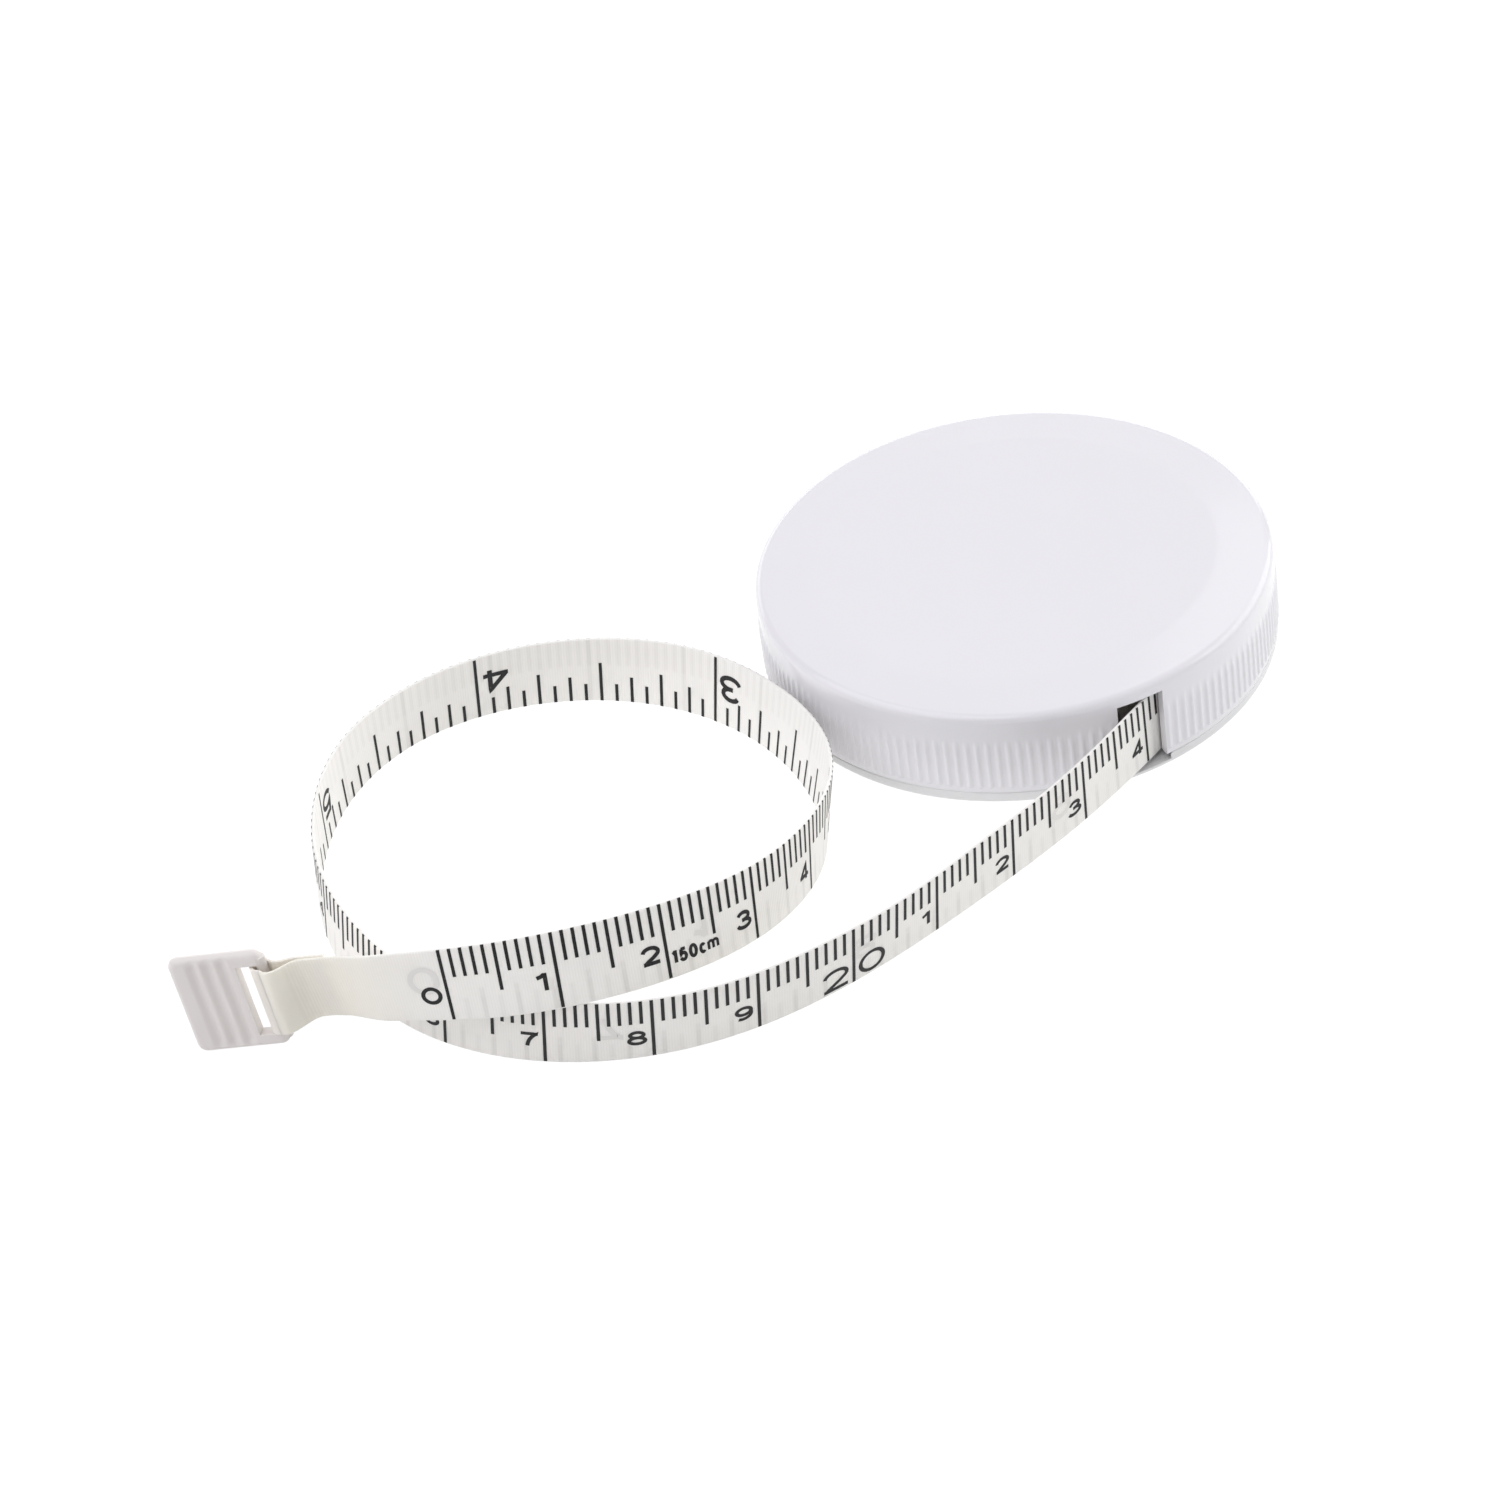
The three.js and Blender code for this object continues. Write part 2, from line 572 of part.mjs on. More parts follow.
// Power spring: one steel ribbon from a tang in the arbor's slot, round the arbor, to a tang in the drum
function powerSpring() {
  const points = [];
  const hookSteps = WIRE_SIDES / 2;
  const tangStart = SPRING_START_RADIUS - SPRING_HOOK;
  const tang = tangStart - ARBOR_RADIUS + SPRING_TANG_SHARE * ARBOR_WALL;
  points.push(new THREE.Vector3(tangStart - tang, -SPRING_HOOK, 0));
  for (let i = 0; i < hookSteps; i += 1) {
    const turn = (Math.PI / 2) * (i / hookSteps);
    const x = tangStart + SPRING_HOOK * Math.sin(turn);
    points.push(new THREE.Vector3(x, -SPRING_HOOK * Math.cos(turn), 0));
  }
  const steps = Math.round(SPRING_TURNS * STEPS_PER_TURN);
  for (let i = 0; i <= steps; i += 1) {
    const radius = THREE.MathUtils.lerp(SPRING_START_RADIUS, SPRING_END_RADIUS, i / steps);
    const angle = radians(SPRING_END_ANGLE) * (i / steps);
    points.push(new THREE.Vector3(radius * Math.cos(angle), radius * Math.sin(angle), 0));
  }
  const hook = [];
  for (let i = 1; i <= hookSteps; i += 1) {
    const turn = (Math.PI / 2) * (i / hookSteps);
    const x = SPRING_END_RADIUS + SPRING_HOOK * (1 - Math.cos(turn));
    hook.push(new THREE.Vector3(x, SPRING_HOOK * Math.sin(turn), 0));
  }
  hook.push(new THREE.Vector3(DRUM_BORE + SPRING_TANG_SHARE * DRUM_WALL, SPRING_HOOK, 0));
  const zAxis = new THREE.Vector3(0, 0, 1);
  points.push(...hook.map((point) => point.applyAxisAngle(zAxis, radians(SPRING_END_ANGLE))));
  const gap = leastGap(points, STEPS_PER_TURN / 2, SPRING_THICKNESS);
  console.log("power_spring least gap mm", gap.toFixed(2));
  const shape = band(uprightStations(points, 0), SPRING_WIDTH, SPRING_THICKNESS);
  return piece("power_spring", shape, SPRING_FINISH, SPRING_SEAT + SPRING_WIDTH / 2);
}

// Anchor: the bar that wedges the tape's inner end into the drum
function tapeAnchor() {
  const inner = DRUM_BORE + PLAY;
  const outer = DRUM_RADIUS - PLAY;
  const half = ANCHOR_WIDTH / 2;
  const bar = block(inner, outer, -half, half, 0, TAPE_WIDTH - 2 * PLAY, ANCHOR_ANGLE);
  return piece("tape_anchor", bar, STEEL_FINISH, TAPE_FLOOR + PLAY);
}

// The tape that is packed on the drum, under its outer turn
function tapeWound() {
  const shape = ring(WOUND_BORE, WOUND_RADIUS, 0, TAPE_WIDTH, CASE_SIDES);
  return piece("tape_wound", shape, TAPE_FINISH, TAPE_FLOOR);
}

// The tape's outer turn, and the arc that leads it from the coil to the mouth.
// The arc starts at the route's first point and meets the turn's circle from outside.
function tapeLead() {
  const start = new THREE.Vector3(START.centre.x, START.centre.y, 0);
  const inward = new THREE.Vector3(Math.cos(INWARD), Math.sin(INWARD), 0);
  const left = new THREE.Vector3(-inward.y, inward.x, 0);
  const arc = (TURN_RADIUS ** 2 - start.lengthSq()) / (2 * (start.dot(left) + TURN_RADIUS));
  const centre = start.clone().addScaledVector(left, arc);
  const meeting = Math.atan2(-centre.y, -centre.x);
  const startAngle = Math.atan2(-left.y, -left.x) + CLEARANCE / arc;
  const points = [];
  const arcSteps = STEPS_PER_TURN / 2;
  for (let i = 0; i < arcSteps; i += 1) {
    const angle = THREE.MathUtils.lerp(startAngle, meeting, i / arcSteps);
    points.push(new THREE.Vector3(arc * Math.cos(angle), arc * Math.sin(angle), 0).add(centre));
  }
  const turnSteps = 2 * STEPS_PER_TURN;
  for (let i = 0; i <= turnSteps; i += 1) {
    const angle = meeting + radians(TURN_ARC) * (i / turnSteps);
    points.push(new THREE.Vector3(TURN_RADIUS * Math.cos(angle), TURN_RADIUS * Math.sin(angle), 0));
  }
  console.log("tape_lead least gap mm", leastGap(points, STEPS_PER_TURN, TAPE_THICKNESS).toFixed(2));
  const shape = band(uprightStations(points, 0), TAPE_WIDTH, TAPE_THICKNESS);
  return piece("tape_lead", shape, TAPE_FINISH, TAPE_FLOOR + TAPE_WIDTH / 2);
}

// The free tape, from inside the mouth to the bar of the tab
function tapeFree() {
  const stations = Array.from({ length: ROUTE_STEPS + 1 }, (_, i) => routeStation(i / ROUTE_STEPS));
  return piece("tape_free", band(stations, TAPE_WIDTH, TAPE_THICKNESS), TAPE_FINISH);
}

// The tab's frame at the route's end: x back along the tape, y up the bar, z towards the printed side
const tabUp = END.across;
const tabBack = END.along.clone().negate().addScaledVector(tabUp, END.along.dot(tabUp)).normalize();
const tabFront = new THREE.Vector3().crossVectors(tabBack, tabUp);
const LOOP_RADIUS = BAR_RADIUS + CLEARANCE + TAPE_THICKNESS / 2;
const BAR_CENTRE = END.centre.clone().addScaledVector(tabFront, -LOOP_RADIUS);

// The share of the route at a distance back from its end
function shareBack(distance) {
  const step = 1 / (ROUTE_STEPS * ROUTE_STEPS);
  let share = 1;
  let walked = 0;
  while (walked < distance) {
    walked += routeFrame(share).centre.distanceTo(routeFrame(share - step).centre);
    share -= step;
  }
  return share;
}

// Hem: the tape's folded end, round the bar and back along the hidden face of the free tape
function tapeHem() {
  const stations = [];
  const first = CLEARANCE / LOOP_RADIUS;
  for (let i = 0; i < HEM_STEPS; i += 1) {
    const turn = THREE.MathUtils.lerp(first, Math.PI, i / HEM_STEPS);
    const face = tabFront.clone().multiplyScalar(-Math.cos(turn)).addScaledVector(tabBack, Math.sin(turn));
    stations.push({ centre: BAR_CENTRE.clone().addScaledVector(face, -LOOP_RADIUS), across: tabUp, face });
  }
  const wide = 2 * LOOP_RADIUS;
  const close = TAPE_THICKNESS + CLEARANCE;
  for (let i = 0; i <= HEM_STEPS; i += 1) {
    const distance = (HEM_LENGTH * i) / HEM_STEPS;
    const { centre, across, face } = routeStation(shareBack(distance));
    const offset = THREE.MathUtils.lerp(wide, close, THREE.MathUtils.smoothstep(distance, 0, HEM_CLOSE));
    stations.push({ centre: centre.addScaledVector(face, offset), across, face: face.clone().negate() });
  }
  return piece("tape_hem", band(stations, TAPE_WIDTH, TAPE_THICKNESS), TAPE_FINISH);
}

// Tab: a ridged grip plate with a window, and the round bar that the tape folds over.
// Its own frame has x along the tab, y up the bar, z out of the front face, and the bar at the middle.
function endTab() {
  const window = TAPE_WIDTH + 2 * CLEARANCE;
  const height = window + 2 * TAB_FRAME;
  const right = BAR_RADIUS;
  const left = right - TAB_LENGTH;
  const half = TAB_THICKNESS / 2;
  const face = [[left, half - RIDGE_DEPTH]];
  for (let i = 0; i < RIDGE_COUNT; i += 1) {
    const crest = left + RIDGE_FIRST + i * RIDGE_PITCH;
    face.push([crest, half], [crest + RIDGE_PITCH / 4, half - RIDGE_DEPTH]);
  }
  face.push([right, half - RIDGE_DEPTH]);
  const mirrored = face.map(([x, z]) => [x, -z]).reverse();
  const side = new THREE.Shape([...face, ...mirrored].map(([x, z]) => new THREE.Vector2(x, z)));
  const straight = { depth: height, bevelEnabled: false };
  const slab = new THREE.ExtrudeGeometry(side, straight).rotateX(Math.PI / 2).translate(0, height / 2, 0);
  const top = height / 2 - TAB_CORNER;
  const arcs = [
    [right - TAB_CORNER, top, 0],
    [left + TAB_CORNER, top, 1],
    [left + TAB_CORNER, -top, 2],
    [right - TAB_CORNER, -top, 3],
  ];
  const outline = new THREE.Shape();
  for (const [x, y, quarter] of arcs) {
    outline.absarc(x, y, TAB_CORNER, (quarter * Math.PI) / 2, ((quarter + 1) * Math.PI) / 2);
  }
  const rounded = { depth: TAB_THICKNESS + 2 * OVERRUN, bevelEnabled: false, curveSegments: SHOULDER_STEPS };
  const frame = new THREE.ExtrudeGeometry(outline, rounded).translate(0, 0, -half - OVERRUN);
  const openingWidth = WINDOW_WIDTH + BAR_RADIUS + right + OVERRUN;
  const opening = new THREE.BoxGeometry(openingWidth, window, 2 * TAB_THICKNESS);
  opening.translate((right + OVERRUN - BAR_RADIUS - WINDOW_WIDTH) / 2, 0, 0);
  const bar = new THREE.CylinderGeometry(BAR_RADIUS, BAR_RADIUS, window + TAB_FRAME, PIN_SIDES);
  const plate = solid(slab).intersect(solid(frame)).subtract(solid(opening));
  const tab = new THREE.Group();
  tab.add(piece("end_tab", geometryOf(plate.add(solid(bar))), TAB_FINISH));
  tab.position.copy(BAR_CENTRE);
  tab.quaternion.setFromRotationMatrix(new THREE.Matrix4().makeBasis(tabBack, tabUp, tabFront));
  return tab;
}

// Button: a round head in the recess under the case, a collar in the arbor and a hollow stem
function pushButton() {
  const foot = BUTTON_FOOT_GAP;
  const top = DISC_UNDERSIDE - PLAY;
  const collarTop = COLLAR_SEAT + BUTTON_COLLAR_HEIGHT;
  const bore = STEM_RADIUS - STEM_WALL;
  const profile = [
    [0, foot],
    [BUTTON_RADIUS - BUTTON_EDGE, foot],
    [BUTTON_RADIUS, foot + BUTTON_EDGE],
    [BUTTON_RADIUS, COLLAR_SEAT],
    [COLLAR_RADIUS, COLLAR_SEAT],
    [COLLAR_RADIUS, collarTop],
    [STEM_RADIUS, collarTop],
    [STEM_RADIUS, top],
    [bore, top],
    [bore, foot + BUTTON_FLOOR],
    [0, foot + BUTTON_FLOOR],
  ];
  return piece("push_button", geometryOf(solid(turned(profile, HUB_SIDES))), BUTTON_FINISH);
}

// Brake disc: it carries the pads, and its notches slide on the cover's keys
function brakeDisc() {
  const profile = [
    [0, 0],
    [DISC_RADIUS, 0],
    [DISC_RADIUS, DISC_THICKNESS],
    [0, DISC_THICKNESS],
  ];
  let body = solid(turned(profile, DRUM_SIDES));
  const notchInner = DISC_RADIUS + PLAY - KEY_DEPTH - CLEARANCE;
  const notchOuter = DISC_RADIUS + OVERRUN;
  const half = KEY_WIDTH / 2 + CLEARANCE;
  for (const angle of around(STATION_COUNT, FIRST_KEY_ANGLE)) {
    const notch = block(notchInner, notchOuter, -half, half, -OVERRUN, DISC_THICKNESS + OVERRUN, angle);
    body = body.subtract(solid(notch));
  }
  return piece("brake_disc", geometryOf(body), INNER_FINISH, DISC_UNDERSIDE);
}

// Brake pads: rubber arcs under the disc that bear on the reel's web
function brakePads() {
  const outer = DISC_RADIUS - PLAY;
  const foot = WEB_TOP + PLAY;
  const half = radians(PAD_ARC / 2);
  return around(PAD_COUNT, FIRST_POST_ANGLE).map((angle, i) => {
    const outline = new THREE.Shape().absarc(0, 0, outer, -half, half);
    outline.absarc(0, 0, outer - PAD_WIDTH, half, -half, true);
    const options = { depth: DISC_UNDERSIDE - foot, bevelEnabled: false, curveSegments: SHOULDER_STEPS * 2 };
    const pad = new THREE.ExtrudeGeometry(outline, options).rotateZ(radians(angle));
    return piece(`brake_pad_${i + 1}`, pad, PAD_FINISH, foot);
  });
}

// Brake spring: a conical coil from the disc up to the guide under the roof
class ConicalCoil extends THREE.Curve {
  getPoint(share, target = new THREE.Vector3()) {
    const radius = THREE.MathUtils.lerp(COIL_BASE_RADIUS, COIL_TOP_RADIUS, share);
    const rise = BRAKE_ROOM - 2 * COIL_SEAT_GAP - COIL_WIRE;
    const angle = 2 * Math.PI * COIL_TURNS * share;
    return target.set(radius * Math.cos(angle), radius * Math.sin(angle), rise * share);
  }
}

function brakeSpring() {
  const path = new ConicalCoil();
  const steps = COIL_TURNS * STEPS_PER_TURN;
  const wire = Array.from({ length: WIRE_SIDES }, (_, i) => {
    const angle = (2 * Math.PI * i) / WIRE_SIDES;
    return new THREE.Vector2((COIL_WIRE / 2) * Math.cos(angle), (COIL_WIRE / 2) * Math.sin(angle));
  });
  const swept = { steps, bevelEnabled: false, extrudePath: path };
  const shape = new THREE.ExtrudeGeometry(new THREE.Shape(wire), swept);
  const points = path.getSpacedPoints(steps);
  console.log("brake_spring least gap mm", leastGap(points, STEPS_PER_TURN / 2, COIL_WIRE).toFixed(2));
  return piece("brake_spring", shape, SPRING_FINISH, DISC_TOP + COIL_SEAT_GAP + COIL_WIRE / 2);
}

const group = new THREE.Group();
group.add(caseCover(), caseBase(), fixedArbor(), arborClip(), drumWasher());
group.add(reelDrum(), springRetainer(), powerSpring(), tapeAnchor());
group.add(tapeWound(), tapeLead(), tapeFree(), tapeHem(), endTab());
group.add(pushButton(), brakeDisc(), ...brakePads(), brakeSpring());

export default group;
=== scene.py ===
"""Looks of a retractable cloth tape measure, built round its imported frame, in metres with +Z up."""
import logging
import math
from dataclasses import dataclass, field
from enum import Enum

import bmesh
import bpy
import numpy as np
from mathutils import Matrix, Vector


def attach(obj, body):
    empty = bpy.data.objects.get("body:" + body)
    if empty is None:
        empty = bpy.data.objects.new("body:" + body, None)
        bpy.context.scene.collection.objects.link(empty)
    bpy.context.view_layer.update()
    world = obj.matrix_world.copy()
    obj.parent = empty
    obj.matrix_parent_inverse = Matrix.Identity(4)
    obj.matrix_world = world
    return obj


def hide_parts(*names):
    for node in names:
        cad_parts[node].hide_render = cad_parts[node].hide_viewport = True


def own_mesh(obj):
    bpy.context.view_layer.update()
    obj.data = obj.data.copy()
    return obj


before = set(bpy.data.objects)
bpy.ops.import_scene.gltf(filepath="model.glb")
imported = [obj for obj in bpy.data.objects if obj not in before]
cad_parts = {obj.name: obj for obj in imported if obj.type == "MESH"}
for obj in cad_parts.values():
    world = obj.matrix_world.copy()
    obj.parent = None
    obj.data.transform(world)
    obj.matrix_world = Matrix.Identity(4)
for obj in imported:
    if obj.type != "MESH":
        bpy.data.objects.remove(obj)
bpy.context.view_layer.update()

log = logging.getLogger("tape_measure")

MM = 0.001
INCH = 0.0254
TAU = 2 * math.pi
WHITE = (1, 1, 1, 1)
TAPE_WIDTH = 7.6 * MM
SCALE_LENGTH = 1.5
# Corners over the first angle in degrees stay sharp, and edges over the second get a bevel
SHARP_ANGLE = 35
BEVEL_ANGLE = 50
# Points closer than the first are one, an edge shorter than the second is none, and a value under the third is nought
SAME_POINT = 1e-7
NO_EDGE = 1e-8
TINY = 1e-9

Point = tuple[float, float, float]
Colour = tuple[float, float, float]
Faces = list[list[int]]

# The tape's route from the case to the tab, one row for each point that draws the curve: x, y and z
# of its lower edge, then how far its upper edge stands off in x and y, as shares of the tape's width.
ROUTE = (
    (0.0123, -0.0200, 0.0014, 0, 0),
    (0.0059, -0.0271, 0.0014, -0.03, -0.06),
    (-0.0016, -0.0334, 0.0009, 0.04, -0.11),
    (-0.0095, -0.0392, 0.0007, 0.04, -0.12),
    (-0.0175, -0.0448, 0.0005, 0.09, -0.2),
    (-0.0260, -0.0498, 0.0004, 0.07, -0.15),
    (-0.0353, -0.0530, 0.0002, 0.08, -0.16),
    (-0.0452, -0.0535, 0.0001, 0.08, -0.1),
    (-0.0548, -0.0511, 0.0001, 0.13, -0.02),
    (-0.0632, -0.0458, 0.0002, 0.13, -0.08),
    (-0.0692, -0.0378, 0.0005, 0.18, -0.02),
    (-0.0722, -0.0284, 0.0011, 0.11, -0.08),
    (-0.0719, -0.0185, 0.0013, 0.06, -0.08),
    (-0.0686, -0.0091, 0.0015, 0, -0.07),
    (-0.0620, -0.0015, 0.0011, 0.09, -0.08),
    (-0.0526, 0.0021, 0.0006, 0.07, -0.03),
    (-0.0427, 0.0015, 0.0004, 0.1, 0.02),
    (-0.0336, -0.0026, 0.0001, 0.12, 0.12),
    (-0.0269, -0.0100, 0.0001, 0.17, 0.12),
    (-0.0234, -0.0193, 0.0008, 0.28, 0.16),
    (-0.0224, -0.0290, 0.0021, 0.2, 0.12),
    (-0.0247, -0.0385, 0.0043, 0.08, 0.15),
    (-0.0302, -0.0465, 0.0061, 0.04, 0.19),
    (-0.0383, -0.0523, 0.0080, -0.02, 0.27),
    (-0.0481, -0.0541, 0.0080, 0, 0.33),
    (-0.0578, -0.0519, 0.0064, -0.02, 0.22),
    (-0.0663, -0.0473, 0.0046, -0.11, 0.03),
    (-0.0756, -0.0454, 0.0028, -0.11, 0.09),
)


class Side(Enum):
    """The two printed faces of the tape."""

    CENTIMETRES = 1
    INCHES = -1


class Value:
    """A shader socket that adds Math nodes when it is used in an expression."""

    def __init__(self, graph: "Graph", socket: bpy.types.NodeSocket) -> None:
        """Wraps a socket.

        Args:
            graph: The graph that the socket belongs to.
            socket: The output that gives the number.
        """
        self.graph = graph
        self.socket = socket

    def math(self, operation: str, *inputs: object) -> "Value":
        """Adds a Math node.

        Args:
            operation: The node's operation.
            inputs: Its values or links, in order.

        Returns:
            The node's result.
        """
        node = self.graph.node("ShaderNodeMath", {"operation": operation}, dict(enumerate(inputs)))
        return Value(self.graph, node.outputs[0])

    def __add__(self, other: object) -> "Value":
        """Sum."""
        return self.math("ADD", self, other)

    __radd__ = __add__

    def __mul__(self, other: object) -> "Value":
        """Product."""
        return self.math("MULTIPLY", self, other)

    __rmul__ = __mul__

    def __sub__(self, other: object) -> "Value":
        """Difference."""
        return self.math("SUBTRACT", self, other)

    def __rsub__(self, other: object) -> "Value":
        """Difference the other way round."""
        return self.math("SUBTRACT", other, self)

    def __lt__(self, other: object) -> "Value":
        """One where this is less than the other, else nought."""
        return self.math("LESS_THAN", self, other)

    def __gt__(self, other: object) -> "Value":
        """One where this is greater than the other, else nought."""
        return self.math("GREATER_THAN", self, other)

    def away(self, pitch: float) -> "Value":
        """Distance to the nearest whole multiple of a pitch."""
        return self.math("PINGPONG", self, pitch / 2)

    def rise(self, low: object, high: object) -> "Value":
        """A smooth rise from nought to one.

        Args:
            low: Where it starts.
            high: Where it ends.

        Returns:
            How much of the rise this value has reached.
        """
        node = self.graph.node(
            "ShaderNodeMapRange",
            {"interpolation_type": "SMOOTHSTEP"},
            {"Value": self, "From Min": low, "From Max": high},
        )
        return Value(self.graph, node.outputs[0])

    def wave(self, pitch: float) -> "Value":
        """A sine wave of this value from nought to one, which repeats at a pitch."""
        return 0.5 + 0.5 * self.math("SINE", self * (TAU / pitch))


class Graph:
    """The node graph of a material or of the world."""

    def __init__(self, owner: bpy.types.ID) -> None:
        """Starts an empty graph.

        Args:
            owner: The material or the world.
        """
        owner.use_nodes = True
        self.owner = owner
        self.nodes = owner.node_tree.nodes
        self.links = owner.node_tree.links
        self.nodes.clear()

    def node(self, kind: str, settings: dict | None = None, inputs: dict | None = None) -> bpy.types.Node:
        """Adds a node.

        Args:
            kind: The node's type.
            settings: Its properties.
            inputs: Values or links of its sockets, by name or index.

        Returns:
            The new node.
        """
        made = self.nodes.new(kind)
        for key, setting in (settings or {}).items():
            setattr(made, key, setting)
        for key, given in (inputs or {}).items():
            given = given.socket if isinstance(given, Value) else given
            if isinstance(given, bpy.types.NodeSocket):
                self.links.new(given, made.inputs[key])
            else:
                made.inputs[key].default_value = given
        return made

    def noise(self, size: float, detail: float = 2) -> Value:
        """Smooth noise over the object.

        Args:
            size: The size of its blobs in metres.
            detail: How many finer octaves are added.

        Returns:
            The noise, round a half.
        """
        where = self.node("ShaderNodeTexCoord").outputs["Object"]
        inputs = {"Vector": where, "Scale": 1 / size, "Detail": detail}
        return Value(self, self.node("ShaderNodeTexNoise", None, inputs).outputs["Fac"])

    def place(self) -> tuple[Value, Value, Value]:
        """The Object coordinates.

        Returns:
            Their x, y and z.
        """
        where = self.node("ShaderNodeTexCoord").outputs["Object"]
        split = self.node("ShaderNodeSeparateXYZ", None, {0: where})
        return tuple(Value(self, out) for out in split.outputs)

    def flat(self) -> tuple[Value, Value]:
        """The piece's own UV map.

        Returns:
            Its first and second value.
        """
        where = self.node("ShaderNodeUVMap", {"uv_map": "UVMap"}).outputs["UV"]
        split = self.node("ShaderNodeSeparateXYZ", None, {0: where})
        return Value(self, split.outputs[0]), Value(self, split.outputs[1])

    def mix(self, share: object, first: object, second: object) -> bpy.types.NodeSocket:
        """Mixes two colours.

        Args:
            share: How much of the second.
            first: A colour or link.
            second: A colour or link.

        Returns:
            The mixed colour's socket.
        """
        pick = [colour if isinstance(colour, bpy.types.NodeSocket) else (*colour, 1) for colour in (first, second)]
        node = self.node("ShaderNodeMix", {"data_type": "RGBA"}, {0: share, 6: pick[0], 7: pick[1]})
        return node.outputs[2]

    def bump(self, height: Value, depth: float) -> bpy.types.NodeSocket:
        """Turns a height from nought to one into a bumped normal.

        Args:
            height: The height.
            depth: What one stands for, in metres.

        Returns:
            The normal's socket.
        """
        node = self.node("ShaderNodeBump", None, {"Height": height, "Distance": depth, "Strength": 1.0})
        return node.outputs["Normal"]

    def finish(self, base: object, roughness: object, normal: object = None, **constants: float) -> bpy.types.Material:
        """Ends a material's graph with a Principled shader.

        Args:
            base: The colour or its link.
            roughness: The roughness or its link.
            normal: The normal's link, or None.
            constants: Other socket values, with _ for a space.

        Returns:
            The material.
        """
        base = base if isinstance(base, bpy.types.NodeSocket) else (*base, 1)
        inputs = {"Base Color": base, "Roughness": roughness}
        if normal is not None:
            inputs["Normal"] = normal
        inputs.update({key.replace("_", " "): constant for key, constant in constants.items()})
        shader = self.node("ShaderNodeBsdfPrincipled", None, inputs)
        self.node("ShaderNodeOutputMaterial", None, {"Surface": shader.outputs[0]})
        return self.owner


def linear(red: int, green: int, blue: int) -> Colour:
    """A colour from 0 to 255 on the sRGB curve, in the linear values that a shader takes."""
    parts = (part / 255 for part in (red, green, blue))
    return tuple(part / 12.92 if part <= 0.04045 else ((part + 0.055) / 1.055) ** 2.4 for part in parts)


def shade(colour: Colour, share: float) -> Colour:
    """A colour made darker or lighter by a share."""
    return tuple(min(part * share, 1) for part in colour)


@dataclass(frozen=True)
class Finish:
    """A surface finish of one colour, which builds its own material."""

    name: str
    colour: Colour

    def graph(self) -> Graph:
        """An empty graph in a new material of the finish's name."""
        return Graph(bpy.data.materials.new(self.name))

    def material(self) -> bpy.types.Material:
        """Builds the finish, which each kind does in its own way."""
        raise NotImplementedError


@dataclass(frozen=True)
class MouldedPlastic(Finish):
    """Injection-moulded plastic: a faint mottle, fine grain, and a gloss that varies a little."""

    roughness: float
    mottle: float = 0.02
    mottle_size: float = 7 * MM
    grain_size: float = 0.35 * MM
    grain_depth: float = 0.004 * MM
    gloss_change: float = 0.06
    ior: float = 1.49

    def material(self) -> bpy.types.Material:
        """Builds the finish.

        Returns:
            The material.
        """
        graph = self.graph()
        cloud = graph.noise(self.mottle_size, 3)
        colour = graph.mix(cloud, shade(self.colour, 1 - self.mottle), shade(self.colour, 1 + self.mottle))
        roughness = self.roughness + self.gloss_change * (cloud - 0.5)
        normal = graph.bump(graph.noise(self.grain_size), self.grain_depth)
        return graph.finish(colour, roughness, normal, IOR=self.ior)


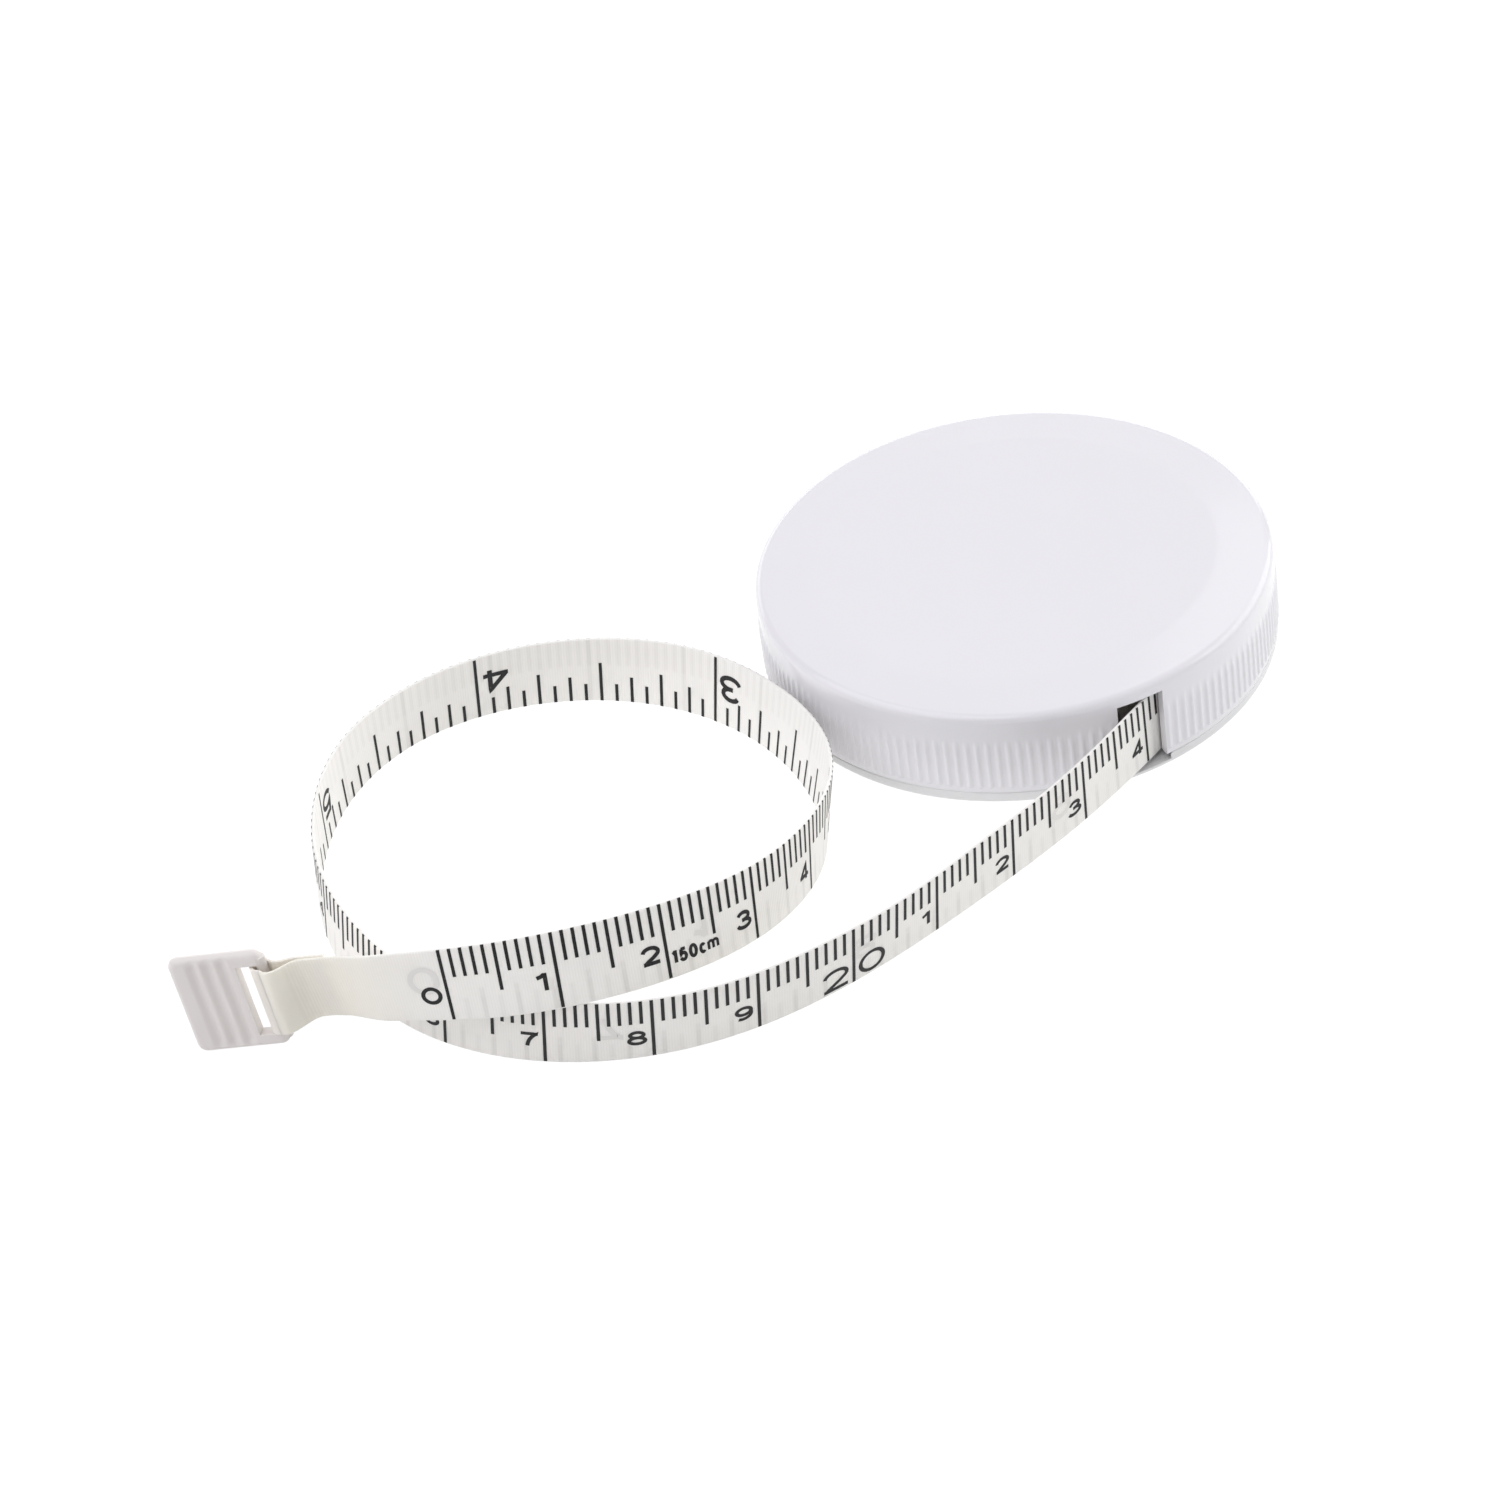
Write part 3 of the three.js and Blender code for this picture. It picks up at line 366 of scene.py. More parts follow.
@dataclass(frozen=True)
class CoatedCloth(Finish):
    """Coated woven tape: fine cross threads with painted shade in their hollows, light through it, the other face's
    print faintly as painted shadow, a warmer end.
    """

    width: float
    scale_end: float
    roughness: float = 0.55
    ior: float = 1.45
    thread: float = 0.26 * MM
    thread_depth: float = 0.014 * MM
    # Painted shade in the hollows between the threads: how much darker they are
    thread_tint: float = 0.035
    cross_share: float = 0.25
    cloud_size: float = 5 * MM
    cloud_tint: float = 0.05
    worn: Colour = (0.945, 0.895, 0.79)
    worn_from: float = -17.5 * MM
    light_through: float = 0.6
    light_spread: float = 0.35 * MM
    # The other face's ticks, painted as faint shadow where they show through the cloth: how dark they show, half a
    # line's width, and how softly its sides and its end fade
    ghost: float = 0.06
    ghost_half: float = 0.1 * MM
    ghost_soft: float = 0.26 * MM
    ghost_fade: float = 0.06
    # Lengths of those ticks as shares of the width, and how much of their darkness the finest keep
    millimetre_reach: float = 0.39
    eighth_reach: float = 0.4
    sixteenth_reach: float = 0.28
    millimetre_weight: float = 0.7
    sixteenth_weight: float = 0.6

    def ticks(self, along: Value, up: Value, pitch: float, reach: float) -> Value:
        """A soft tick mask.

        Args:
            along: Distance along the tape.
            up: Height share from the edge that the ticks stand on.
            pitch: Their spacing.
            reach: Their length as a share of the width.

        Returns:
            One on a tick, nought off it, soft in between.
        """
        line = 1 - along.away(pitch).rise(self.ghost_half, self.ghost_half + self.ghost_soft)
        return line * (1 - up.rise(reach, reach + self.ghost_fade))

    def material(self) -> bpy.types.Material:
        """Builds the finish.

        The map's second value runs from 0 to 1 up the centimetre face, then to 2 down the other.

        Returns:
            The material.
        """
        graph = self.graph()
        along, turn = graph.flat()
        inner = turn > 1
        up = turn - 2 * inner * (turn - 1)
        eighths = self.ticks(along, up, INCH / 8, self.eighth_reach)
        sixteenths = self.ticks(along, up, INCH / 16, self.sixteenth_reach)
        millimetres = self.ticks(along, 1 - up, 1 * MM, self.millimetre_reach)
        centimetres = self.ticks(along, 1 - up, 10 * MM, 1)
        inch_print = eighths + self.sixteenth_weight * sixteenths
        centimetre_print = self.millimetre_weight * millimetres + centimetres
        printed = (along > 0) * (along < self.scale_end)
        # Painted shadow: the other face's ticks, as they show through the cloth, darken this face's colour
        ghost = ((1 - inner) * inch_print + inner * centimetre_print) * printed * self.ghost
        threads, across = along.wave(self.thread), up.wave(self.thread / self.width)
        weave = (1 - self.cross_share) * threads + self.cross_share * across
        cloud = graph.noise(self.cloud_size, 3)
        # Painted shade: darker where the weave's bump is low, in the hollows between the threads
        darker = ghost + self.thread_tint * (1 - threads) + self.cloud_tint * (cloud - 0.5)
        # The colour turns warmer towards the tape's end at the bar
        clean = graph.mix(along.rise(self.worn_from, 0), self.worn, self.colour)
        colour = graph.mix(darker, clean, (0, 0, 0))
        glow = {"Subsurface Weight": self.light_through, "Subsurface Radius": (1, 1, 1)}
        glow["Subsurface Scale"] = self.light_spread
        return graph.finish(colour, self.roughness, graph.bump(weave, self.thread_depth), IOR=self.ior, **glow)


@dataclass(frozen=True)
class PrintingInk(Finish):
    """Screen-printed ink with tiny pale specks where the threads show through."""

    speck: Colour
    roughness: float = 0.6
    ior: float = 1.45
    speck_size: float = 0.22 * MM
    speck_range: tuple[float, float] = (0.66, 0.8)
    speck_share: float = 0.5

    def material(self) -> bpy.types.Material:
        """Builds the finish.

        Returns:
            The material.
        """
        graph = self.graph()
        specks = self.speck_share * graph.noise(self.speck_size).rise(*self.speck_range)
        return graph.finish(graph.mix(specks, self.colour, self.speck), self.roughness, IOR=self.ior)


@dataclass(frozen=True)
class RolledSteel(Finish):
    """Bright rolled steel with fine lines, a little wavy, at even heights."""

    roughness: float = 0.3
    line_pitch: float = 0.09 * MM
    line_depth: float = 0.002 * MM
    waver: float = 0.2 * MM
    waver_size: float = 2 * MM
    cloud_size: float = 4 * MM
    dark: float = 0.9
    light: float = 1.05
    gloss_change: float = 0.15

    def material(self) -> bpy.types.Material:
        """Builds the finish.

        Returns:
            The material.
        """
        graph = self.graph()
        height = graph.place()[2]
        lines = (height + self.waver * graph.noise(self.waver_size)).wave(self.line_pitch)
        cloud = graph.noise(self.cloud_size, 3)
        colour = graph.mix(cloud, shade(self.colour, self.dark), shade(self.colour, self.light))
        roughness = self.roughness + self.gloss_change * (cloud - 0.5)
        return graph.finish(colour, roughness, graph.bump(lines, self.line_depth), Metallic=1.0)


@dataclass(frozen=True)
class BrakeRubber(Finish):
    """Matt dark rubber."""

    roughness: float = 0.85
    gloss_change: float = 0.1
    cloud_size: float = 1.5 * MM
    dark: float = 0.8
    light: float = 1.3
    grain_size: float = 0.2 * MM
    grain_depth: float = 0.01 * MM

    def material(self) -> bpy.types.Material:
        """Builds the finish.

        Returns:
            The material.
        """
        graph = self.graph()
        cloud = graph.noise(self.cloud_size, 4)
        colour = graph.mix(cloud, shade(self.colour, self.dark), shade(self.colour, self.light))
        roughness = self.roughness + self.gloss_change * (cloud - 0.5)
        return graph.finish(colour, roughness, graph.bump(graph.noise(self.grain_size), self.grain_depth))


WHITE_PLASTIC = MouldedPlastic("case_white", linear(235, 234, 238), 0.12, mottle=0.008, gloss_change=0.03)
BASE_PLASTIC = MouldedPlastic("base_white", linear(228, 228, 229), 0.3, mottle=0.01)
BUTTON_PLASTIC = MouldedPlastic("button_white", linear(230, 230, 233), 0.4)
INNER_PLASTIC = MouldedPlastic("inner_cream", linear(218, 216, 208), 0.5)
TAB_PLASTIC = MouldedPlastic("tab_white", linear(233, 228, 225), 0.42, grain_size=0.5 * MM)
CLOTH = CoatedCloth("coated_cloth", linear(247, 245, 241), TAPE_WIDTH, SCALE_LENGTH)
PLAIN_CLOTH = CoatedCloth("coated_cloth_plain", linear(244, 239, 230), TAPE_WIDTH, 0)
INK = PrintingInk("black_ink", linear(24, 24, 25), linear(120, 120, 120))
# Painted shadow: the inch numerals of the other face as they show through the cloth, a little darker than the cloth
SHOW_THROUGH = PrintingInk("painted_print_shadow", linear(234, 232, 228), linear(236, 235, 232))
STEEL = RolledSteel("bright_steel", linear(190, 192, 197))
SPRING_STEEL = RolledSteel("spring_steel", linear(150, 154, 160), 0.36)
RUBBER = BrakeRubber("brake_rubber", linear(52, 52, 54))


def in_scene(name: str, data: bpy.types.ID) -> bpy.types.Object:
    """Puts an object in the scene, at the origin.

    Args:
        name: The object's name.
        data: Its mesh, lamp or camera.

    Returns:
        The object.
    """
    thing = bpy.data.objects.new(name, data)
    bpy.context.scene.collection.objects.link(thing)
    return thing


MADE_MATERIALS: dict[str, bpy.types.Material] = {}


def material_of(finish: Finish) -> bpy.types.Material:
    """A finish's material, built once.

    Args:
        finish: The finish.

    Returns:
        The material.
    """
    if finish.name not in MADE_MATERIALS:
        MADE_MATERIALS[finish.name] = finish.material()
    return MADE_MATERIALS[finish.name]


def new_piece(name: str, mesh: bpy.types.Mesh, finish: Finish, body: str) -> bpy.types.Object:
    """Puts a mesh in the scene as a piece that rides on a body.

    Args:
        name: The piece's name.
        mesh: Its mesh, in the frame's own coordinates.
        finish: Its finish.
        body: The body that it rides on.

    Returns:
        The new object.
    """
    piece = in_scene(name, mesh)
    mesh.materials.clear()
    mesh.materials.append(material_of(finish))
    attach(piece, body)
    log.info("%s: %d faces on %s", name, len(mesh.polygons), body)
    return piece


def mesh_of(name: str, points: np.ndarray, faces: Faces, flats: np.ndarray | None = None) -> bpy.types.Mesh:
    """A mesh from points and faces.

    Args:
        name: The mesh's name.
        points: Rows of x, y and z.
        faces: Lists of point numbers, anticlockwise from outside.
        flats: One UV row for each corner of each face in turn, or None.

    Returns:
        The mesh, with its corners over SHARP_ANGLE kept sharp.
    """
    mesh = bpy.data.meshes.new(name)
    mesh.from_pydata(points.tolist(), [], faces)
    if flats is not None:
        layer = mesh.uv_layers.new(name="UVMap")
        layer.data.foreach_set("uv", flats.astype(np.float32).ravel())
    mesh.update()
    soften(mesh)
    return mesh


def soften(mesh: bpy.types.Mesh, angle: float = SHARP_ANGLE) -> None:
    """Smooths a mesh's shading, and keeps its corners over an angle in degrees sharp."""
    mesh.polygons.foreach_set("use_smooth", np.ones(len(mesh.polygons), dtype=bool))
    mesh.set_sharp_from_angle(angle=math.radians(angle))


def tube_faces(rows: int, columns: int, ends: bool) -> Faces:
    """Faces of a grid whose columns close on themselves.

    Args:
        rows: Rows along the tube.
        columns: Points round the tube.
        ends: Whether its two ends are closed with a face each, or the last row meets the first.

    Returns:
        Lists of point numbers.
    """
    r, c = np.meshgrid(np.arange(rows - 1 if ends else rows), np.arange(columns), indexing="ij")
    below, above = r, (r + 1) % rows
    here, there = c, (c + 1) % columns
    corners = (below * columns + here, below * columns + there, above * columns + there, above * columns + here)
    faces = np.stack(corners, axis=-1).reshape(-1, 4).tolist()
    if ends:
        faces.append(list(range(columns - 1, -1, -1)))
        faces.append(list(range((rows - 1) * columns, rows * columns)))
    return faces


def tube_flats(along: np.ndarray, around: np.ndarray) -> np.ndarray:
    """UV rows for tube_faces with closed ends.

    Args:
        along: A value for each row.
        around: A value for each point round the tube and one more for the seam.

    Returns:
        One UV row for each corner, in the faces' order.
    """
    rows, columns = len(along), len(around) - 1
    r, c = np.meshgrid(np.arange(rows - 1), np.arange(columns), indexing="ij")
    corners = ((r, c), (r, c + 1), (r + 1, c + 1), (r + 1, c))
    quads = np.stack([np.stack([along[i], around[j]], axis=-1) for i, j in corners], axis=2).reshape(-1, 2)
    first = np.stack([np.full(columns, along[0]), around[columns - 1 :: -1]], axis=-1)
    last = np.stack([np.full(columns, along[-1]), around[:columns]], axis=-1)
    return np.concatenate([quads, first, last])


def turned(name: str, profile: np.ndarray, columns: int) -> bpy.types.Mesh:
    """A closed profile of radius and height turned round the upright axis.

    Each point goes to (radius cos a, radius sin a, height) for evenly spaced angles a.

    Args:
        name: The mesh's name.
        profile: Rows of radius and height, anticlockwise with the radius to the right.
        columns: Points round the axis.

    Returns:
        The mesh.
    """
    angles = TAU * np.arange(columns) / columns
    radius, height = profile[:, 0], profile[:, 1]
    x = np.outer(np.cos(angles), radius)
    y = np.outer(np.sin(angles), radius)
    z = np.broadcast_to(height, x.shape)
    points = np.stack([x, y, z], axis=-1).reshape(-1, 3)
    return tidy_mesh(mesh_of(name, points, tube_faces(columns, len(profile), ends=False)))


def tidy_mesh(mesh: bpy.types.Mesh) -> bpy.types.Mesh:
    """Merges doubles, drops faces without area and turns all faces outwards.

    Args:
        mesh: The mesh, which is changed in place.

    Returns:
        The same mesh.
    """
    work = bmesh.new()
    work.from_mesh(mesh)
    bmesh.ops.remove_doubles(work, verts=work.verts, dist=SAME_POINT)
    bmesh.ops.dissolve_degenerate(work, edges=work.edges, dist=NO_EDGE)
    loose = [edge for edge in work.edges if not edge.link_faces]
    bmesh.ops.delete(work, geom=loose, context="EDGES")
    bmesh.ops.recalc_face_normals(work, faces=work.faces)
    work.to_mesh(mesh)
    work.free()
    soften(mesh)
    return mesh


def box_mesh(name: str, low: Point, high: Point, place: Matrix) -> bpy.types.Mesh:
    """A block between two corners in a frame of its own.

    Args:
        name: The mesh's name.
        low: The lowest corner.
        high: The highest corner.
        place: The frame.

    Returns:
        The mesh.
    """
    xs, ys, zs = zip(low, high)
    z, y, x = np.meshgrid(zs, ys, xs, indexing="ij")
    points = np.stack([x, y, z], axis=-1).reshape(-1, 3)
    faces = [[0, 2, 3, 1], [4, 5, 7, 6], [0, 1, 5, 4], [2, 6, 7, 3], [0, 4, 6, 2], [1, 3, 7, 5]]
    mesh = mesh_of(name, points, faces)
    mesh.transform(place)
    return mesh


def cut_out(mesh: bpy.types.Mesh, cutters: list[bpy.types.Mesh], bevel: float = 0) -> bpy.types.Mesh:
    """Cuts meshes out of a mesh.

    Args:
        mesh: The mesh to start from.
        cutters: The meshes to cut from it.
        bevel: The width of the rounding on edges over BEVEL_ANGLE, or nought.

    Returns:
        A new mesh with nothing live on it.
    """
    holder = in_scene(mesh.name, mesh)
    helpers = [in_scene(cutter.name, cutter) for cutter in cutters]
    for helper in helpers:
        step = holder.modifiers.new(helper.name, "BOOLEAN")
        step.operation = "DIFFERENCE"
        step.solver = "EXACT"
        step.object = helper
    if bevel:
        step = holder.modifiers.new("edges", "BEVEL")
        step.width = bevel
        step.segments = 3
        step.limit_method = "ANGLE"
        step.angle_limit = math.radians(BEVEL_ANGLE)
    graph = bpy.context.evaluated_depsgraph_get()
    made = bpy.data.meshes.new_from_object(holder.evaluated_get(graph))
    for thing in (holder, *helpers):
        bpy.data.objects.remove(thing)
    made.name = mesh.name
    soften(made)
    return made


def joined(name: str, meshes: list[bpy.types.Mesh], sharp: float = SHARP_ANGLE) -> bpy.types.Mesh:
    """One mesh made of several closed ones.

    Args:
        name: The mesh's name.
        meshes: The closed ones.
        sharp: The angle in degrees over which its corners stay sharp.

    Returns:
        The mesh.
    """
    work = bmesh.new()
    for mesh in meshes:
        work.from_mesh(mesh)
    made = bpy.data.meshes.new(name)
    work.to_mesh(made)
    work.free()
    soften(made, sharp)
    return made


def chamfered_pin(name: str, radius: float, low: float, high: float, chamfer: float, sides: int = 48) -> bpy.types.Mesh:
    """An upright pin on the axis with chamfered ends.

    Args:
        name: The mesh's name.
        radius: The pin's radius.
        low: The height of its lower end.
        high: The height of its upper end.
        chamfer: The width of its chamfers.
        sides: Points round it.

    Returns:
        The mesh.
    """
    profile = [(0, low), (radius - chamfer, low), (radius, low + chamfer), (radius, high - chamfer),
               (radius - chamfer, high), (0, high)]
    return turned(name, np.array(profile), sides)


def thirds(first: float) -> np.ndarray:
    """Three even angles in radians, from a first one in degrees."""
    return np.radians(first + 120 * np.arange(3))


def polar(radius: float, angle: float) -> Matrix:
    """A turn about the upright axis after a move out along x."""
    return Matrix.Rotation(angle, 4, "Z") @ Matrix.Translation((radius, 0, 0))


def smooth(share: np.ndarray) -> np.ndarray:
    """A share from nought to one made level at both ends: s^2 (3 - 2 s)."""
    return share * share * (3 - 2 * share)


def hump(share: np.ndarray) -> np.ndarray:
    """A hump one high over shares from nought to one, steeper at its start: 27/4 s (1 - s)^2."""
    return 27 / 4 * share * (1 - share) ** 2


@dataclass(frozen=True)
class Lamp:
    """A rectangular soft lamp: where it stands, the point it faces, its size, its brightness and colour."""

    name: str
    place: Point
    size: tuple[float, float]
    radiance: float
    target: Point = (-0.01, -0.01, 0.01)
    colour: Colour = (1, 1, 1)

    def build(self) -> None:
        """Makes the lamp. Its power is pi times its radiance and its area."""
        data = bpy.data.lights.new(self.name, "AREA")
        data.shape = "RECTANGLE"
        data.size, data.size_y = self.size
        data.energy = self.radiance * self.size[0] * self.size[1] * math.pi
        data.color = self.colour
        thing = in_scene(self.name, data)
        thing.location = self.place
        thing.rotation_mode = "QUATERNION"
        thing.rotation_quaternion = (Vector(self.place) - Vector(self.target)).to_track_quat("Z", "Y")


@dataclass
class Studio:
    """The photograph's camera, a white floor and soft light."""

    lens: float = 108
    sensor: float = 36
    nearest: float = 0.01
    camera_place: Point = (-0.02875, -0.3617, 0.2753)
    pitch: float = math.radians(38.09)
    roll: float = math.radians(8.89)
    floor_size: float = 3.0
    floor_height: float = -0.02 * MM
    floor_colour: float = 0.92
    glow_seen: float = 0.82
    glow_strength: float = 1.12
    glow_light: float = 1.08
    glow_share: float = 0.5
    glow_near: float = 0.03
    glow_far: float = 0.1
    world_strength: float = 0.36
    lamps: tuple[Lamp, ...] = (
        Lamp("key", (-0.55, -0.15, 0.9), (1.2, 1.0), 1.92, colour=(0.96, 0.95, 1.0)),
        Lamp("crescent", (0.348, 0.663, 0.68), (0.45, 0.28), 0.9, (0.022, -0.005, 0.011)),
        Lamp("right", (0.9, 0.25, 0.42), (1.2, 0.75), 2.4),
        Lamp("left", (-0.95, -0.1, 0.36), (0.7, 0.6), 0.4),
        Lamp("back", (-0.1, 1.0, 0.22), (1.6, 0.4), 1.6),
    )

    def camera(self) -> None:
        """Makes the camera. Its picture's right and up are turned by the roll about its heading."""
        data = bpy.data.cameras.new("camera")
        data.lens = self.lens
        data.sensor_width = self.sensor
        data.clip_start = self.nearest
        thing = in_scene("camera", data)
        heading = Vector((0, math.cos(self.pitch), -math.sin(self.pitch)))
        level_up = Vector((0, math.sin(self.pitch), math.cos(self.pitch)))
        level_right = Vector((1, 0, 0))
        right = math.cos(self.roll) * level_right - math.sin(self.roll) * level_up
        up = math.sin(self.roll) * level_right + math.cos(self.roll) * level_up
        turn = Matrix((right, up, -heading)).transposed().to_4x4()
        thing.matrix_world = Matrix.Translation(self.camera_place) @ turn
        bpy.context.scene.camera = thing

    def floor_material(self) -> bpy.types.Material:
        """The floor's white, which glows a little near the part, and more so for the camera and for mirrors.

        Returns:
            The material.
        """
        graph = Graph(bpy.data.materials.new("floor_white"))
        rays = graph.node("ShaderNodeLightPath").outputs
        seen = Value(graph, rays["Is Camera Ray"]) + Value(graph, rays["Is Glossy Ray"])
        seen = seen.math("MINIMUM", seen, 1.0)
        x, y = graph.place()[:2]
        square = x * x + y * y
        away = square.math("SQRT", square)
        share = self.glow_share * (1 - away.rise(self.glow_near, self.glow_far))
        matt = graph.node("ShaderNodeBsdfDiffuse", None, {"Color": (*(self.floor_colour,) * 3, 1)})
        bounce = graph.node("ShaderNodeEmission", None, {"Strength": self.glow_light})
        lit = graph.node("ShaderNodeMixShader", None, {0: share, 1: matt.outputs[0], 2: bounce.outputs[0]})
        glow = graph.node("ShaderNodeEmission", None, {"Strength": self.glow_strength})
        both = graph.node("ShaderNodeMixShader", None,
                          {0: seen * self.glow_seen, 1: lit.outputs[0], 2: glow.outputs[0]})
        graph.node("ShaderNodeOutputMaterial", None, {"Surface": both.outputs[0]})
        return graph.owner

    def floor(self) -> None:
        """Makes the floor, a little under the part's lowest point."""
        half = self.floor_size / 2
        points = np.array([(-half, -half, 0), (half, -half, 0), (half, half, 0), (-half, half, 0)])
        sheet = in_scene("floor", mesh_of("floor", points, [[0, 1, 2, 3]]))
        sheet.location.z = self.floor_height
        sheet.data.materials.append(self.floor_material())

    def world(self) -> None:
        """Makes the surrounding light, which the camera sees as white."""
        graph = Graph(bpy.data.worlds.new("studio"))
        bpy.context.scene.world = graph.owner
        rays = graph.node("ShaderNodeLightPath").outputs
        fill = graph.node("ShaderNodeBackground", None, {"Color": WHITE, "Strength": self.world_strength})
        seen = graph.node("ShaderNodeBackground", None, {"Color": WHITE, "Strength": 1})
        both = graph.node("ShaderNodeMixShader", None,
                          {0: rays["Is Camera Ray"], 1: fill.outputs[0], 2: seen.outputs[0]})
        graph.node("ShaderNodeOutputWorld", None, {"Surface": both.outputs[0]})

    def build(self) -> None:
        """Makes the floor and the lights, and sets how the picture is shown."""
        self.floor()
        self.world()
        for lamp in self.lamps:
            lamp.build()
        bpy.context.scene.view_settings.view_transform = "Standard"


@dataclass
class TapePath:
    """The free tape's path from inside the mouth to the bar of the tab.

    A uniform cubic spline is drawn by the rows of ROUTE and starts and ends on the first and last row.
    """

    width: float = TAPE_WIDTH
    thickness: float = 0.35 * MM
    edge: float = 0.147 * MM
    samples: int = 6000
    # A few marks of the printed scale, and how far back from the bar each stands, in millimetres
    marks: tuple[float, ...] = (-14, 0, 10, 30, 80, 150, 175, 245)
    mark_backs: tuple[float, ...] = (2.3, 17.82, 28.4, 48.66, 98.75, 169.1, 194.4, 264.4)
    middle: np.ndarray = field(init=False)
    across: np.ndarray = field(init=False)
    along: np.ndarray = field(init=False)
    outward: np.ndarray = field(init=False)
    back: np.ndarray = field(init=False)

    def __post_init__(self) -> None:
        """Samples the path."""
        share = np.linspace(0, 1, self.samples)
        rows = self.spline(share)
        lean = rows[:, 3:]
        self.across = np.column_stack([lean, np.sqrt(1 - (lean**2).sum(axis=1))])
        self.middle = rows[:, :3] + self.across * self.width / 2
        heading = np.gradient(self.middle, axis=0)
        self.along = heading / np.linalg.norm(heading, axis=1, keepdims=True)
        inner = np.cross(self.along, self.across)
        self.outward = -inner / np.linalg.norm(inner, axis=1, keepdims=True)
        steps = np.linalg.norm(np.diff(self.middle, axis=0), axis=1)
        walked = np.concatenate([[0], np.cumsum(steps)])
        self.back = walked[-1] - walked

    @property
    def length(self) -> float:
        """The length of the middle line."""
        return float(self.back[0])

    def spline(self, share: np.ndarray) -> np.ndarray:
        """Rows of the route at shares of it.

        Each is a sum of four neighbouring rows with the weights (1-f)^3, 3f^3-6f^2+4, -3f^3+3f^2+3f+1
        and f^3 over six, where f is the share of the way between the middle two.

        Args:
            share: Shares from 0 to 1.

        Returns:
            One row for each share.
        """
        rows = np.array(ROUTE, float)
        rows = np.vstack([2 * rows[0] - rows[1], rows, 2 * rows[-1] - rows[-2]])
        place = share * (len(ROUTE) - 1)
        first = np.minimum(place.astype(int), len(ROUTE) - 2)
        f = (place - first)[:, None]
        weights = ((1 - f) ** 3, 3 * f**3 - 6 * f**2 + 4, -3 * f**3 + 3 * f**2 + 3 * f + 1, f**3)
        return sum(weight * rows[first + step] for step, weight in enumerate(weights)) / 6

    def at(self, table: np.ndarray, back: np.ndarray) -> np.ndarray:
        """A table's rows at distances back from the bar."""
        return np.stack([np.interp(back, self.back[::-1], column[::-1]) for column in table.T], axis=-1)

    def back_of(self, mark: np.ndarray) -> np.ndarray:
        """Distances back from the bar at which marks of the printed scale stand."""
        return np.interp(mark, np.array(self.marks) * MM, np.array(self.mark_backs) * MM)

    def mark_of(self, back: np.ndarray) -> np.ndarray:
        """Marks of the printed scale at distances back from the bar."""
        return np.interp(back, np.array(self.mark_backs) * MM, np.array(self.marks) * MM)

    def surface(self, back: np.ndarray, height: np.ndarray, out: np.ndarray) -> np.ndarray:
        """Points of the tape: middle + across * (height - half the width) + outward * out.

        Args:
            back: Distances back from the bar.
            height: Heights over the tape's lower edge.
            out: Distances from its middle layer towards the centimetre face.

        Returns:
            Rows of x, y and z in the shape of the arguments.
        """
        back, height, out = np.broadcast_arrays(back, height, out)
        flat = back.ravel()
        lift = (height.ravel() - self.width / 2)[:, None]
        points = self.at(self.middle, flat) + self.at(self.across, flat) * lift
        points = points + self.at(self.outward, flat) * out.ravel()[:, None]
        return points.reshape(*back.shape, 3)


# Points across a face of a tape, and round an edge with both its corners
FACE_POINTS = 9
EDGE_POINTS = 7


def tape_section(width: float, thickness: float, edge: float) -> np.ndarray:
    """The cross-section of a tape, a thin rectangle with a half ellipse at either edge.

    Args:
        width: Its width.
        thickness: Its thickness.
        edge: How far the rounding of its edges reaches into the faces.

    Returns:
        Rows of height over the lower edge, distance out and the map's second value, up the centimetre
        face and down the inch face, with the first row again at the end.
    """
    half = thickness / 2
    face = np.linspace(edge, width - edge, FACE_POINTS)
    turn = np.linspace(0, math.pi, EDGE_POINTS)[1:-1]
    top = np.column_stack([width - edge + edge * np.sin(turn), half * np.cos(turn)])
    bottom = np.column_stack([edge - edge * np.sin(turn), -half * np.cos(turn)])
    outer = np.column_stack([face, np.full(len(face), half)])
    inner = np.column_stack([face[::-1], np.full(len(face), -half)])
    loop = np.vstack([outer, top, inner, bottom])
    around = np.concatenate([face / width, np.ones(len(top)), 2 - face[::-1] / width, np.full(len(bottom), 2.0)])
    rows = np.column_stack([loop, around])
    seam = np.array([[*rows[0, :2], 2.0 + rows[0, 2]]])
    return np.vstack([rows, seam])


def ribbon(name: str, points: np.ndarray, along: np.ndarray, around: np.ndarray) -> bpy.types.Mesh:
    """A tape's mesh from a grid of points.

    Args:
        name: The mesh's name.
        points: Rows along the tape of points round its cross-section.
        along: The map's first value for each row.
        around: The map's second value for each point round, and one for the seam.

    Returns:
        The mesh.
    """
    rows, columns = points.shape[:2]
    return mesh_of(name, points.reshape(-1, 3), tube_faces(rows, columns, ends=True), tube_flats(along, around))


